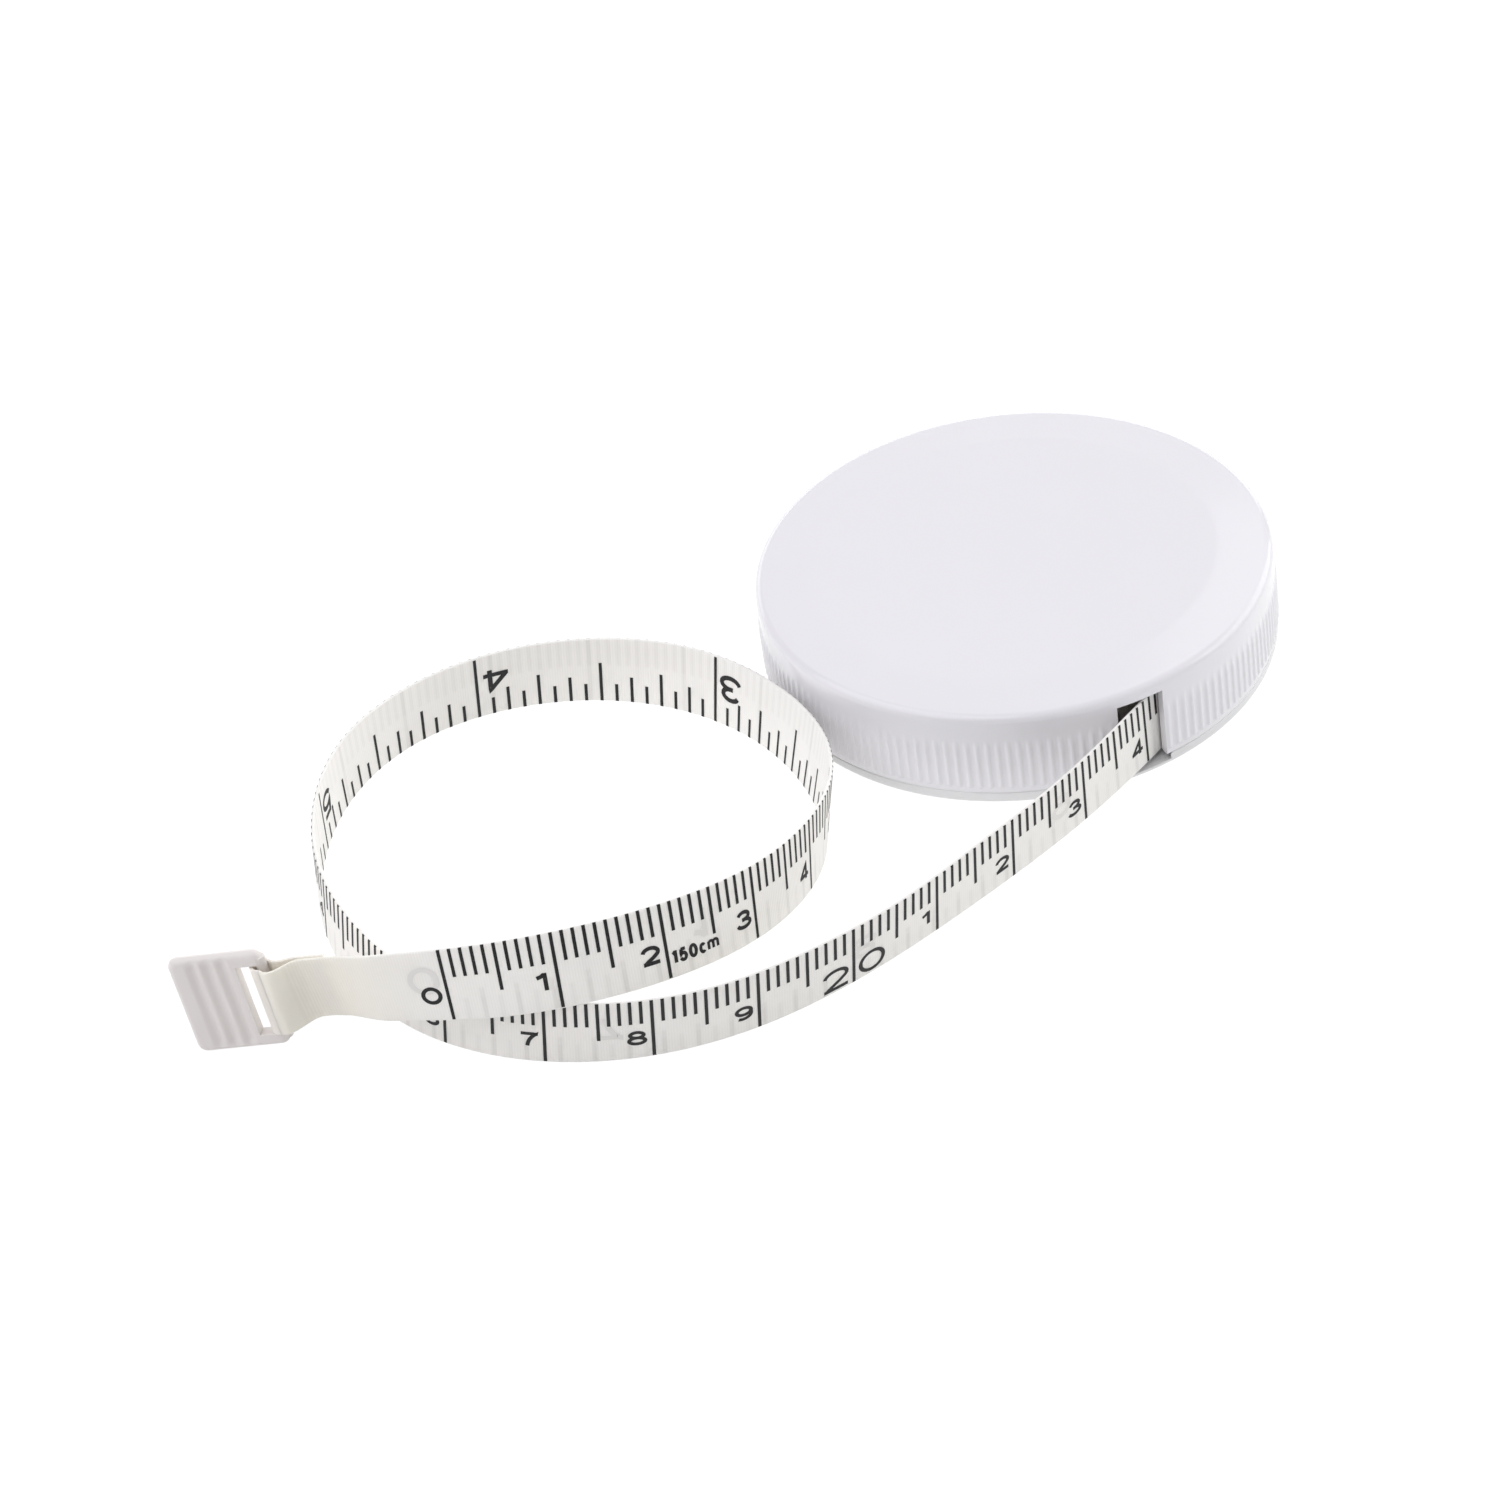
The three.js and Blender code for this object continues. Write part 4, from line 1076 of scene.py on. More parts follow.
@dataclass
class FreeTape:
    """The tape that lies in a loop on the table, and its folded end round the tab's bar."""

    path: TapePath
    step: float = 0.5 * MM
    bar_radius: float = 0.55 * MM
    clearance: float = 0.3 * MM
    bulge: float = 0.95 * MM
    bulge_length: float = 3.6 * MM
    # How far the tape falls back at its lower and its upper edge
    retreat: tuple[float, float] = (1.9 * MM, 0.9 * MM)
    retreat_length: float = 11.5 * MM
    hem_length: float = 6.2 * MM
    hem_close: float = 4 * MM
    # The step over the hem's end: its height, its length, and how far from the bar it has its whole height
    hem_step: float = 0.12 * MM
    hem_step_length: float = 1 * MM
    hem_step_from: float = 2 * MM
    # How far apart the middles of the two layers lie, in thicknesses
    hem_pack: float = 1.15
    fold_rows: int = 25
    case_radius: float = 26 * MM
    cord_points: int = 300

    @property
    def loop_radius(self) -> float:
        """The radius at which the tape's middle layer goes round the bar."""
        return self.bar_radius + self.clearance + self.path.thickness / 2

    def free(self) -> bpy.types.Object:
        """Makes the free tape.

        Returns:
            The piece.
        """
        path = self.path
        section = tape_section(path.width, path.thickness, path.edge)
        rows = int(path.length / self.step)
        back = np.linspace(path.length, 0, rows)
        out = section[None, :-1, 1] + self.lift(back[:, None], section[None, :-1, 0] / path.width)
        points = path.surface(back[:, None], section[None, :-1, 0], out)
        mesh = ribbon("tape_ribbon", points, path.mark_of(back), section[:, 2])
        piece = new_piece("tape_ribbon", mesh, CLOTH, "case")
        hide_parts("tape_free")
        return piece

    def lift(self, back: np.ndarray, share: np.ndarray) -> np.ndarray:
        """How far the tape stands out from its path near the bar.

        It swells at the bar and falls back beyond it, more at its lower edge, each as a hump, and it steps over
        the hem's end with a smooth rise.

        Args:
            back: Distances from the bar.
            share: Heights as shares of the width.

        Returns:
            Distances out of the printed face.
        """
        low, high = self.retreat
        bulge = self.bulge * hump(np.clip(back / self.bulge_length, 0, 1))
        retreat = (low + (high - low) * share) * hump(np.clip(back / self.retreat_length, 0, 1))
        near = np.clip(back / self.hem_step_from, 0, 1)
        over_hem = smooth(np.clip((self.hem_length - back) / self.hem_step_length + 0.5, 0, 1))
        return bulge - retreat + self.hem_step * near * over_hem

    def declare(self) -> None:
        """Samples points along the free tape's middle line, and does nothing more with them.
        """
        path = self.path
        line = path.at(path.middle, np.linspace(path.length, 0, self.cord_points))

    def hem(self, tab_frame: "TabFrame") -> bpy.types.Object:
        """Makes the folded end: half a circle round the bar, then back along the tape's hidden face.

        Args:
            tab_frame: The tab's own frame.

        Returns:
            The piece.
        """
        path = self.path
        section = tape_section(path.width, path.thickness, path.edge)
        turn = np.linspace(0, math.pi, self.fold_rows)[:-1]
        face = -np.outer(np.cos(turn), tab_frame.front) + np.outer(np.sin(turn), tab_frame.back)
        centre = tab_frame.bar - face * self.loop_radius
        up = np.broadcast_to(tab_frame.up, centre.shape)
        distance = np.linspace(0, self.hem_length, self.fold_rows + 1)
        closing = smooth(np.clip(distance / self.hem_close, 0, 1))
        offset = 2 * self.loop_radius + (self.hem_pack * path.thickness - 2 * self.loop_radius) * closing
        tape_out = path.at(path.outward, distance)
        straight = path.at(path.middle, distance) - tape_out * offset[:, None]
        centre = np.vstack([centre, straight])
        face = np.vstack([face, tape_out])
        up = np.vstack([up, path.at(path.across, distance)])
        lift = section[:-1, 0] - path.width / 2
        points = centre[:, None] + up[:, None] * lift[None, :, None] - face[:, None] * section[None, :-1, 1, None]
        follow = self.lift(distance[:, None], section[None, :-1, 0] / path.width)
        points[-len(distance) :] += tape_out[:, None] * follow[..., None]
        along = -path.mark_of(np.zeros(1)) - np.linspace(0, 1, len(centre)) * self.hem_length
        mesh = tidy_mesh(ribbon("tape_fold", points, along, section[:, 2]))
        piece = new_piece("tape_fold", mesh, PLAIN_CLOTH, "case")
        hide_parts("tape_hem")
        return piece


@dataclass
class TabFrame:
    """The tab's own frame: back along the tape, up the bar, and out of the printed side."""

    path: TapePath
    loop_radius: float
    back: np.ndarray = field(init=False)
    up: np.ndarray = field(init=False)
    front: np.ndarray = field(init=False)
    bar: np.ndarray = field(init=False)

    def __post_init__(self) -> None:
        """Works the frame out from the path's end."""
        self.up = self.path.across[-1]
        along = self.path.along[-1]
        back = -along + self.up * (along @ self.up)
        self.back = back / np.linalg.norm(back)
        self.front = np.cross(self.back, self.up)
        self.bar = self.path.middle[-1] - self.front * self.loop_radius

    def matrix(self) -> Matrix:
        """The frame as a matrix."""
        turn = Matrix(np.column_stack([self.back, self.up, self.front]).tolist()).to_4x4()
        return Matrix.Translation(self.bar.tolist()) @ turn


def bow(x: float, y: float, across: float, up: float, start: float, stop: float, steps: int = 14) -> np.ndarray:
    """Points of an elliptic arc: (x + across cos a, y + up sin a) from a start to a stop angle in degrees."""
    turn = np.radians(np.linspace(start, stop, steps))
    return np.column_stack([x + across * np.cos(turn), y + up * np.sin(turn)])


# The width of a character as drawn, with a height of one
GLYPH_WIDTH = 0.8


def glyph(character: str) -> list[np.ndarray]:
    """The strokes of a character, one high and about GLYPH_WIDTH wide, drawn with lines and arcs.

    Args:
        character: A digit or one of the letters c and m.

    Returns:
        Arrays of points, one for each stroke.
    """
    line = np.array
    strokes = {
        "0": [bow(0.4, 0.5, 0.4, 0.5, 90, 450, 29)],
        "1": [line([(0.22, 0.8), (0.42, 0.87), (0.58, 1.01)]), line([(0.6, 1.08), (0.6, -0.05)])],
        "2": [np.vstack([bow(0.4, 0.7, 0.37, 0.3, 175, -30), [(0.52, 0.36), (0.26, 0.17), (0.07, 0.0)]]),
              line([(0.0, 0), (0.8, 0)])],
        "3": [np.vstack([bow(0.38, 0.75, 0.33, 0.25, 165, -90), [(0.28, 0.5)]]), bow(0.38, 0.26, 0.4, 0.26, 85, -170)],
        "4": [line([(0.56, 0), (0.56, 1), (0.0, 0.3), (0.0, 0.26), (0.8, 0.26)])],
        "5": [line([(0.72, 1), (0.1, 1)]),
              np.vstack([[(0.17, 1), (0.08, 0.5)], bow(0.38, 0.32, 0.38, 0.32, 130, -160, 20)])],
        "6": [bow(0.4, 0.31, 0.36, 0.31, 90, 450, 25),
              np.vstack([bow(0.46, 0.6, 0.42, 0.4, 60, 180, 10), [(0.04, 0.31)]])],
        "7": [np.vstack([[(0.02, 1), (0.78, 1)], bow(1.3, -0.1, 0.98, 1.3, 122, 176, 9)])],
        "8": [bow(0.4, 0.76, 0.32, 0.24, 90, 450, 25), bow(0.4, 0.26, 0.38, 0.26, 90, 450, 25)],
        "9": [bow(0.4, 0.69, 0.36, 0.31, 90, 450, 25),
              np.vstack([bow(0.34, 0.4, 0.42, 0.4, -120, 0, 10), [(0.76, 0.69)]])],
        "c": [bow(0.3, 0.33, 0.3, 0.33, 40, 320, 18)],
        "m": [line([(0.0, 0), (0.0, 0.66)]), np.vstack([bow(0.18, 0.44, 0.18, 0.22, 180, 0, 8), [(0.36, 0)]]),
              np.vstack([bow(0.54, 0.44, 0.18, 0.22, 180, 0, 8), [(0.72, 0)]])],
    }
    return strokes[character]


@dataclass(frozen=True)
class Lettering:
    """A size of characters: width and height between the strokes' middles, strokes' width, and height of the foot."""

    width: float
    height: float
    weight: float
    foot: float


@dataclass
class TapePrint:
    """The printed scales: ticks as thin bars, and numerals drawn with strokes of the same ink."""

    path: TapePath
    line: float = 0.33 * MM
    sunk: float = 0.04 * MM
    raised: float = 0.012 * MM
    faint_raised: float = 0.006 * MM
    stroke_step: float = 0.2 * MM
    sharpest_mitre: float = 0.5
    edge_turn: float = math.radians(50)
    edge_points: int = 4
    end: float = 244 * MM
    # Lengths of the ticks as shares of the tape's width
    millimetre_share: float = 0.39
    five_share: float = 0.63
    sixteenth_shares: tuple[float, ...] = (0.28, 0.4, 0.5, 0.62, 1.0)
    # The numerals, and how far each stands from its line
    numeral: Lettering = Lettering(1.55 * MM, 1.52 * MM, 0.38 * MM, 2 * MM)
    high_numeral: Lettering = Lettering(1.55 * MM, 1.52 * MM, 0.38 * MM, 2.15 * MM)
    high_numbers: tuple[int, ...] = (1, 2)
    numeral_gap: float = 0.72 * MM
    ten: Lettering = Lettering(2.62 * MM, 2.5 * MM, 0.42 * MM, 0.62 * MM)
    ten_gaps: tuple[float, float] = (0.7 * MM, 0.76 * MM)
    inch_numeral: Lettering = Lettering(2.35 * MM, 2.5 * MM, 0.5 * MM, 1.95 * MM)
    inch_gap: float = 0.75 * MM
    # The room between characters, and what a 1 takes of a character's width
    letter_gap: float = 0.12 * MM
    one_share: float = 0.8
    # The stated length, as characters, the mark at their left end, and their size
    stated_length: tuple[tuple[str, float, Lettering], ...] = (
        ("150", 20.35 * MM, Lettering(0.58 * MM, 1.08 * MM, 0.33 * MM, 1.5 * MM)),
        ("c", 23.35 * MM, Lettering(0.6 * MM, 1.2 * MM, 0.31 * MM, 1.5 * MM)),
        ("m", 24.22 * MM, Lettering(1.1 * MM, 1.2 * MM, 0.28 * MM, 1.5 * MM)),
    )
    points: list[np.ndarray] = field(default_factory=list)
    faces: Faces = field(default_factory=list)
    count: int = 0

    def add(self, points: np.ndarray, faces: Faces) -> None:
        """Adds to what the next piece is made from.

        Args:
            points: Points, in any shape whose last axis is x, y and z.
            faces: Lists of numbers of these points.
        """
        rows = points.reshape(-1, 3)
        self.points.append(rows)
        self.faces.extend((np.array(face) + self.count).tolist() for face in faces)
        self.count += len(rows)

    def ticks(self, side: Side, marks: np.ndarray, reach: np.ndarray) -> None:
        """Adds bars across the tape that wrap a little over the edge that they start from.

        A bar's section runs along the face from its end to the edge and round the edge's ellipse by the turn
        (edge sin a, half the thickness cos a), and back a little under the surface.

        Args:
            side: The face that they are on.
            marks: Their places on the scale.
            reach: Their lengths as shares of the width.
        """
        path = self.path
        half, edge = path.thickness / 2, path.edge
        end = np.maximum(path.width * (1 - reach), edge)
        turn = np.linspace(0, self.edge_turn, self.edge_points)
        outer = np.column_stack([np.sin(turn) * (edge + self.raised), np.cos(turn) * (half + self.raised)])
        inner = np.column_stack([np.sin(turn) * (edge - self.sunk), np.cos(turn) * (half - self.sunk)])[::-1]
        bend = np.vstack([outer, inner])
        height = np.column_stack([end, np.tile(path.width - edge + bend[:, 0], (len(marks), 1)), end])
        out = np.concatenate([[half + self.raised], bend[:, 1], [half - self.sunk]])
        if side is Side.INCHES:
            height, out = path.width - height, -out
        spread = np.array([-1, 1]) * self.line / 2
        back = path.back_of(marks)[:, None, None] + spread[None, :, None]
        points = path.surface(back, height[:, None, :], out[None, None, :])
        count = len(out)
        ring = [[k, (k + 1) % count, count + (k + 1) % count, count + k] for k in range(count)]
        strips = [[k, k + 1, count - 2 - k, count - 1 - k] for k in range(count // 2 - 1)]
        ends = strips + [[corner + count for corner in reversed(strip)] for strip in strips]
        for number in range(len(marks)):
            self.add(points[number], ring + ends)

    def stroke(self, side: Side, marks: np.ndarray, heights: np.ndarray, weight: float) -> None:
        """Adds a flat stroke along a line on the tape.

        The line gets extra points so that the stroke bends with the cloth. The stroke's edges lie half its
        weight to either side of the line, along the bisector of each bend.

        Args:
            side: The face that it is on.
            marks: The line's places on the scale.
            heights: Its heights over the lower edge.
            weight: The stroke's width.
        """
        line = np.column_stack([marks, heights])
        walked = np.concatenate([[0], np.cumsum(np.linalg.norm(np.diff(line, axis=0), axis=1))])
        even = np.linspace(0, walked[-1], int(walked[-1] / self.stroke_step) + 2)
        walks = np.union1d(walked, even[np.abs(even[:, None] - walked).min(axis=1) > self.stroke_step / 4])
        line = np.column_stack([np.interp(walks, walked, line[:, 0]), np.interp(walks, walked, line[:, 1])])
        run = np.diff(line, axis=0)
        run = run / np.linalg.norm(run, axis=1, keepdims=True)
        closed = np.allclose(line[0], line[-1])
        before = np.vstack([run[-1:] if closed else run[:1], run])
        after = np.vstack([run, run[:1] if closed else run[-1:]])
        normal = np.column_stack([-(before + after)[:, 1], (before + after)[:, 0]])
        normal /= np.maximum(np.linalg.norm(normal, axis=1, keepdims=True), TINY)
        bend = (normal * np.column_stack([-before[:, 1], before[:, 0]])).sum(axis=1)
        bend = np.clip(bend, self.sharpest_mitre, 1)
        offset = normal * (weight / 2 / bend)[:, None]
        half, sign = self.path.thickness / 2, side.value
        section = [(-1, half - self.sunk), (1, half - self.sunk), (1, half + self.raised), (-1, half + self.raised)]
        spots = np.stack([line + offset * across for across, _ in section], axis=1)
        if closed:
            spots = spots[:-1]
        out = sign * np.array([o for _, o in section])
        points = self.path.surface(self.path.back_of(spots[..., 0]), spots[..., 1], out[None, :])
        self.add(points, tube_faces(len(points), 4, ends=not closed))

    def text(self, side: Side, words: str, mark: float, size: Lettering, upside_down: bool = False) -> None:
        """Adds a row of characters.

        Args:
            side: The face that they are on.
            words: The characters.
            mark: The scale's mark at the first one's left end.
            size: Their size, with the foot's height over the edge that they stand towards.
            upside_down: Whether they stand towards the upper edge.
        """
        advance = 0.0
        for character in words:
            for stroke in glyph(character):
                forward = advance + stroke[:, 0] * size.width / GLYPH_WIDTH
                upward = size.foot + stroke[:, 1] * size.height
                if upside_down:
                    upward = self.path.width - upward
                self.stroke(side, mark + forward, upward, size.weight)
            advance += size.width * (self.one_share if character == "1" else 1) + size.weight + self.letter_gap

    def take(self, name: str, finish: Finish) -> bpy.types.Object:
        """Makes a piece from what has been added, and starts again with nothing.

        Args:
            name: The piece's name.
            finish: Its finish.

        Returns:
            The piece.
        """
        mesh = tidy_mesh(mesh_of(name, np.vstack(self.points), self.faces))
        self.points, self.faces, self.count = [], [], 0
        return new_piece(name, mesh, finish, "case")

    def centimetres(self) -> bpy.types.Object:
        """Makes the centimetre scale on the outer face.

        Returns:
            The piece.
        """
        side = Side.CENTIMETRES
        marks = np.arange(0, int(self.end / MM) + 1)
        reach = np.where(marks % 10 == 0, 1.0, np.where(marks % 5 == 0, self.five_share, self.millimetre_share))
        self.ticks(side, marks * MM, reach)
        for number in range(int(self.end / (10 * MM)) + 1):
            self.centimetre_numeral(number)
        for words, mark, size in self.stated_length:
            self.text(side, words, mark, size)
        return self.take("centimetre_print", INK)

    def centimetre_numeral(self, number: int) -> None:
        """Adds the numeral of a centimetre line: a large pair astride each tenth, else its last digit.

        Args:
            number: The line's centimetres.
        """
        mark = number * 10 * MM
        side = Side.CENTIMETRES
        if number and number % 10 == 0:
            tens, ones = str(number)
            before, after = self.ten_gaps
            self.text(side, tens, mark - before - self.ten.width, self.ten)
            self.text(side, ones, mark + after, self.ten)
        else:
            size = self.high_numeral if number in self.high_numbers else self.numeral
            self.text(side, str(number % 10), mark - self.numeral_gap - size.width, size)

    def inches(self) -> bpy.types.Object:
        """Makes the inch scale on the inner face.

        Returns:
            The piece.
        """
        steps = np.arange(0, int(16 * self.end / INCH) + 1)
        reach = np.full(len(steps), self.sixteenth_shares[0])
        for power, share in enumerate(self.sixteenth_shares[1:], start=1):
            reach[steps % 2**power == 0] = share
        self.ticks(Side.INCHES, steps * INCH / 16, reach)
        self.inch_numerals(Side.INCHES)
        return self.take("inch_print", INK)

    def inch_numerals(self, side: Side) -> None:
        """Adds the inch numerals, upside down, each before its line.

        Args:
            side: The face that they are on.
        """
        size = self.inch_numeral
        for number in range(int(self.end / INCH) + 1):
            left = number * INCH - self.inch_gap - size.width
            self.text(side, str(number), left, size, upside_down=True)

    def show_through(self) -> bpy.types.Object:
        """Makes the painted shadows of the inch numerals, faint shapes as they show through the cloth on the centimetre
        face.

        Returns:
            The piece.
        """
        self.raised = self.faint_raised
        self.inch_numerals(Side.CENTIMETRES)
        return self.take("numeral_shadows_through_cloth", SHOW_THROUGH)


@dataclass
class Case:
    """The two-part case: a ribbed cover with a soft shoulder, and a base with a recess for the button."""

    path: TapePath
    radius: float = 25.84 * MM
    bore: float = 24.8 * MM
    height: float = 11 * MM
    roof: float = 9.8 * MM
    shoulder: float = 0.85 * MM
    shoulder_rows: int = 14
    draft: float = 0.02 * MM
    rim: float = 1.6 * MM
    seam: float = 0.1 * MM
    cover_sharp: float = 62
    # The dial, with the radii of the rows where the slope to it ends, where it bends and where it is flat
    dial_radius: float = 20.3 * MM
    dial_drop: float = 0.22 * MM
    dial_soft: float = 0.5 * MM
    slope_end: float = 21.4 * MM
    slope_rows: int = 4
    bend_half: float = 0.9 * MM
    bend_rows: int = 11
    dial_rows: tuple[float, ...] = (17 * MM, 12 * MM, 6 * MM, 0)
    rib_count: int = 160
    first_rib: float = math.radians(1.5)
    rib_height: float = 0.16 * MM
    rib_half: float = 0.29 * MM
    rib_low: float = 2.48 * MM
    rib_high: float = 8.25 * MM
    rib_fade: float = 1.75 * MM
    columns_per_rib: int = 9
    # The wall's rows: how many round a rib's foot, along its middle and its fade, and how far past either end
    foot_rows: int = 6
    middle_rows: int = 4
    fade_rows: int = 7
    under_rib: float = 0.1 * MM
    over_rib: float = 0.3 * MM
    plate: float = 0.9 * MM
    dish_radius: float = 10.5 * MM
    dish_depth: float = 0.8 * MM
    # How far the recess's lower edge is eased inwards, upwards and outwards
    dish_ease: tuple[float, float, float] = (0.15 * MM, 0.12 * MM, 0.1 * MM)
    hole: float = 6.2 * MM
    foot: float = 1.1 * MM
    foot_points: int = 9
    base_columns: int = 360
    lip_radius: float = 24.5 * MM
    lip_wall: float = 0.7 * MM
    lip_top: float = 2.6 * MM
    # What stands under the roof reaches into it by the root
    root: float = 0.5 * MM
    post_circle: float = 22.6 * MM
    post_radius: float = 1.1 * MM
    post_low: float = 1.2 * MM
    post_chamfer: float = 0.25 * MM
    post_sides: int = 32
    first_post: float = 25
    socket_bore: float = 1.4 * MM
    socket_radius: float = 1.9 * MM
    socket_top: float = 4 * MM
    socket_sides: int = 40
    first_key: float = 85
    key_outer: float = 12.5 * MM
    key_depth: float = 1 * MM
    key_half: float = 0.6 * MM
    key_low: float = 7.1 * MM
    guide_radius: float = 3.2 * MM
    guide_low: float = 9.1 * MM
    guide_chamfer: float = 0.1 * MM
    mouth_angle: float = math.radians(-70.1)
    mouth_width: float = 4.95 * MM
    mouth_low: float = 0.9 * MM
    mouth_high: float = 9.5 * MM
    # How far the mouth's block reaches inside the lip's radius and outside the case's
    mouth_reach: tuple[float, float] = (0.6 * MM, 2 * MM)
    # The lip's gap: its near and far end and its two sides, seen inwards from the wall, and its room over the lip
    lip_cut: tuple[float, float, float, float] = (1.4 * MM, 8 * MM, -1.45 * MM, 0.7 * MM)
    lip_room: float = 1 * MM

    def mouth(self) -> bpy.types.Mesh:
        """The block that cuts the mouth straight through the wall.

        Returns:
            The mesh.
        """
        inwards, outwards = self.mouth_reach
        low = (self.lip_radius - inwards, -self.mouth_width / 2, self.mouth_low)
        high = (self.radius + outwards, self.mouth_width / 2, self.mouth_high)
        return box_mesh("mouth", low, high, Matrix.Rotation(self.mouth_angle, 4, "Z"))

    def lip_gap(self) -> bpy.types.Mesh:
        """The block that lets the tape through the base's lip, turned along the tape at the wall.

        Returns:
            The mesh.
        """
        path = self.path
        far = np.hypot(path.middle[:, 0], path.middle[:, 1])
        spot = np.argmax(far > (self.radius + self.bore) / 2)
        heading = math.atan2(-path.along[spot, 1], -path.along[spot, 0])
        place = Matrix.Translation((path.middle[spot, 0], path.middle[spot, 1], 0))
        near, far_end, right, left = self.lip_cut
        low, high = (near, right, self.mouth_low), (far_end, left, self.lip_top + self.lip_room)
        return box_mesh("lip_gap", low, high, place @ Matrix.Rotation(heading, 4, "Z"))

    def crown(self) -> np.ndarray:
        """The outer profile over the shoulder to the middle of the top.

        The shoulder is a quarter circle. Inside it the top rises in a straight slope to the flat dial, and
        the bend between the two is smoothed: drop = slope (gap + sqrt(gap^2 + soft^2 / 4)) / 2.

        Returns:
            Rows of radius and height.
        """
        top = self.height - self.dial_drop
        flat = self.radius - self.draft - self.shoulder
        turn = np.linspace(0, math.pi / 2, self.shoulder_rows)
        across, up = flat + self.shoulder * np.cos(turn), top - self.shoulder + self.shoulder * np.sin(turn)
        slope_part = np.linspace(flat, self.slope_end, self.slope_rows)[1:]
        bend_part = self.dial_radius + self.bend_half * np.linspace(1, -1, self.bend_rows)
        radius = np.concatenate([slope_part, bend_part, self.dial_rows])
        gap = radius - self.dial_radius
        drop = self.dial_drop / (flat - self.dial_radius) * (gap + np.sqrt(gap**2 + self.dial_soft**2 / 4)) / 2
        return np.column_stack([np.concatenate([across, radius]), np.concatenate([up, self.height - drop])])

    def wall(self) -> np.ndarray:
        """The wall's rows, close together where the ribs end.

        Returns:
            Their heights.
        """
        feet = self.rib_half * np.sin(np.linspace(0, math.pi / 2, self.foot_rows))
        low = self.rib_low - feet[::-1]
        fade = np.linspace(self.rib_high - self.rib_fade, self.rib_high, self.fade_rows)
        middle = np.linspace(self.rib_low, fade[0], self.middle_rows)[1:-1]
        first, last = [self.rim + self.seam, low[0] - self.under_rib], [fade[-1] + self.over_rib]
        return np.concatenate([first, low, middle, fade, last])

    def shell(self) -> bpy.types.Mesh:
        """The cover's cap.

        Each rib is a bead with a round foot on the unrolled wall. Its height falls off as a parabola with the
        distance from its middle line, height (1 - (distance / half width)^2), and fades out below the shoulder.

        Returns:
            The mesh.
        """
        columns = self.rib_count * self.columns_per_rib
        angles = TAU * np.arange(columns) / columns + self.first_rib
        wall = self.wall()
        slope = self.draft / (self.height - self.dial_drop - self.shoulder - self.rim)
        outer = np.vstack([np.column_stack([self.radius - slope * (wall - self.rim), wall]), self.crown()])
        lower = [(0, self.roof), (self.bore - self.seam, self.roof), (self.bore, self.roof - self.seam),
                 (self.bore, self.rim), (self.radius - self.seam, self.rim)]
        profile = np.vstack([outer, lower])
        radius = np.tile(profile[:, 0], (columns, 1))
        pitch = TAU * self.radius / self.rib_count
        around = np.arange(columns) % self.columns_per_rib * pitch / self.columns_per_rib
        around = np.minimum(around, pitch - around)
        beyond = np.maximum(0, self.rib_low - wall)
        distance = np.minimum(np.hypot(around[:, None], beyond[None, :]) / self.rib_half, 1)
        fade = smooth(np.clip((self.rib_high - wall) / self.rib_fade, 0, 1))
        radius[:, : len(wall)] += self.rib_height * fade * (1 - distance**2)
        x, y = radius * np.cos(angles)[:, None], radius * np.sin(angles)[:, None]
        points = np.stack([x, y, np.broadcast_to(profile[:, 1], x.shape)], axis=-1).reshape(-1, 3)
        return tidy_mesh(mesh_of("shell", points, tube_faces(columns, len(profile), ends=False)))

    def cover(self) -> None:
        """Makes the cover, with its snap posts, brake keys and spring guide under the roof."""
        cut = cut_out(self.shell(), [self.mouth()])
        inside = self.roof + self.root
        fittings = [chamfered_pin("guide", self.guide_radius, self.guide_low, inside, self.guide_chamfer)]
        for angle in thirds(self.first_post):
            post = chamfered_pin("post", self.post_radius, self.post_low, inside, self.post_chamfer, self.post_sides)
            post.transform(polar(self.post_circle, angle))
            fittings.append(post)
        for angle in thirds(self.first_key):
            low = (self.key_outer - self.key_depth, -self.key_half, self.key_low)
            high = (self.key_outer, self.key_half, inside)
            fittings.append(box_mesh("key", low, high, Matrix.Rotation(angle, 4, "Z")))
        mesh = joined("case_cover_shell", [cut, *fittings], self.cover_sharp)
        piece = new_piece("case_cover_shell", mesh, WHITE_PLASTIC, "case")
        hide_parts("case_cover")

    def base(self) -> None:
        """Makes the base, with its recess, its lip and the sockets for the snap posts."""
        seam, plate, rim, hole, depth = self.seam, self.plate, self.rim, self.hole, self.dish_depth
        dish_top, cone = depth + plate, self.dish_radius + depth
        turn = np.linspace(0, math.pi / 2, self.foot_points)
        foot_across = self.radius - self.foot + self.foot * np.sin(turn)
        foot_up = self.foot - self.foot * np.cos(turn)
        lip_outer, lip_inner, lip_top = self.lip_radius, self.lip_radius - self.lip_wall, self.lip_top
        ease_in, ease_up, ease_out = self.dish_ease
        profile = [
            (hole, depth + seam), (hole + seam, depth), (self.dish_radius, depth),
            (cone - ease_in, ease_up), (cone + ease_out, 0), *zip(foot_across, foot_up),
            (self.radius, rim - seam), (self.radius - seam, rim), (lip_outer, rim),
            (lip_outer, lip_top - seam), (lip_outer - seam, lip_top),
            (lip_inner + seam, lip_top), (lip_inner, lip_top - seam), (lip_inner, plate),
            (cone, plate), (self.dish_radius, dish_top), (hole + seam, dish_top), (hole, dish_top - seam),
        ]
        shell = turned("base", np.array(profile), self.base_columns)
        parts = [cut_out(shell, [self.mouth(), self.lip_gap()])]
        bore, outer, top = self.socket_bore, self.socket_radius, self.socket_top
        ring = [(bore, plate), (bore, top), (outer, top), (outer, plate / 2), (bore, plate / 2)]
        for angle in thirds(self.first_post):
            socket = turned("socket", np.array(ring), self.socket_sides)
            socket.transform(polar(self.post_circle, angle))
            parts.append(socket)
        piece = new_piece("case_base_shell", joined("case_base_shell", parts), BASE_PLASTIC, "case")
        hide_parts("case_base")


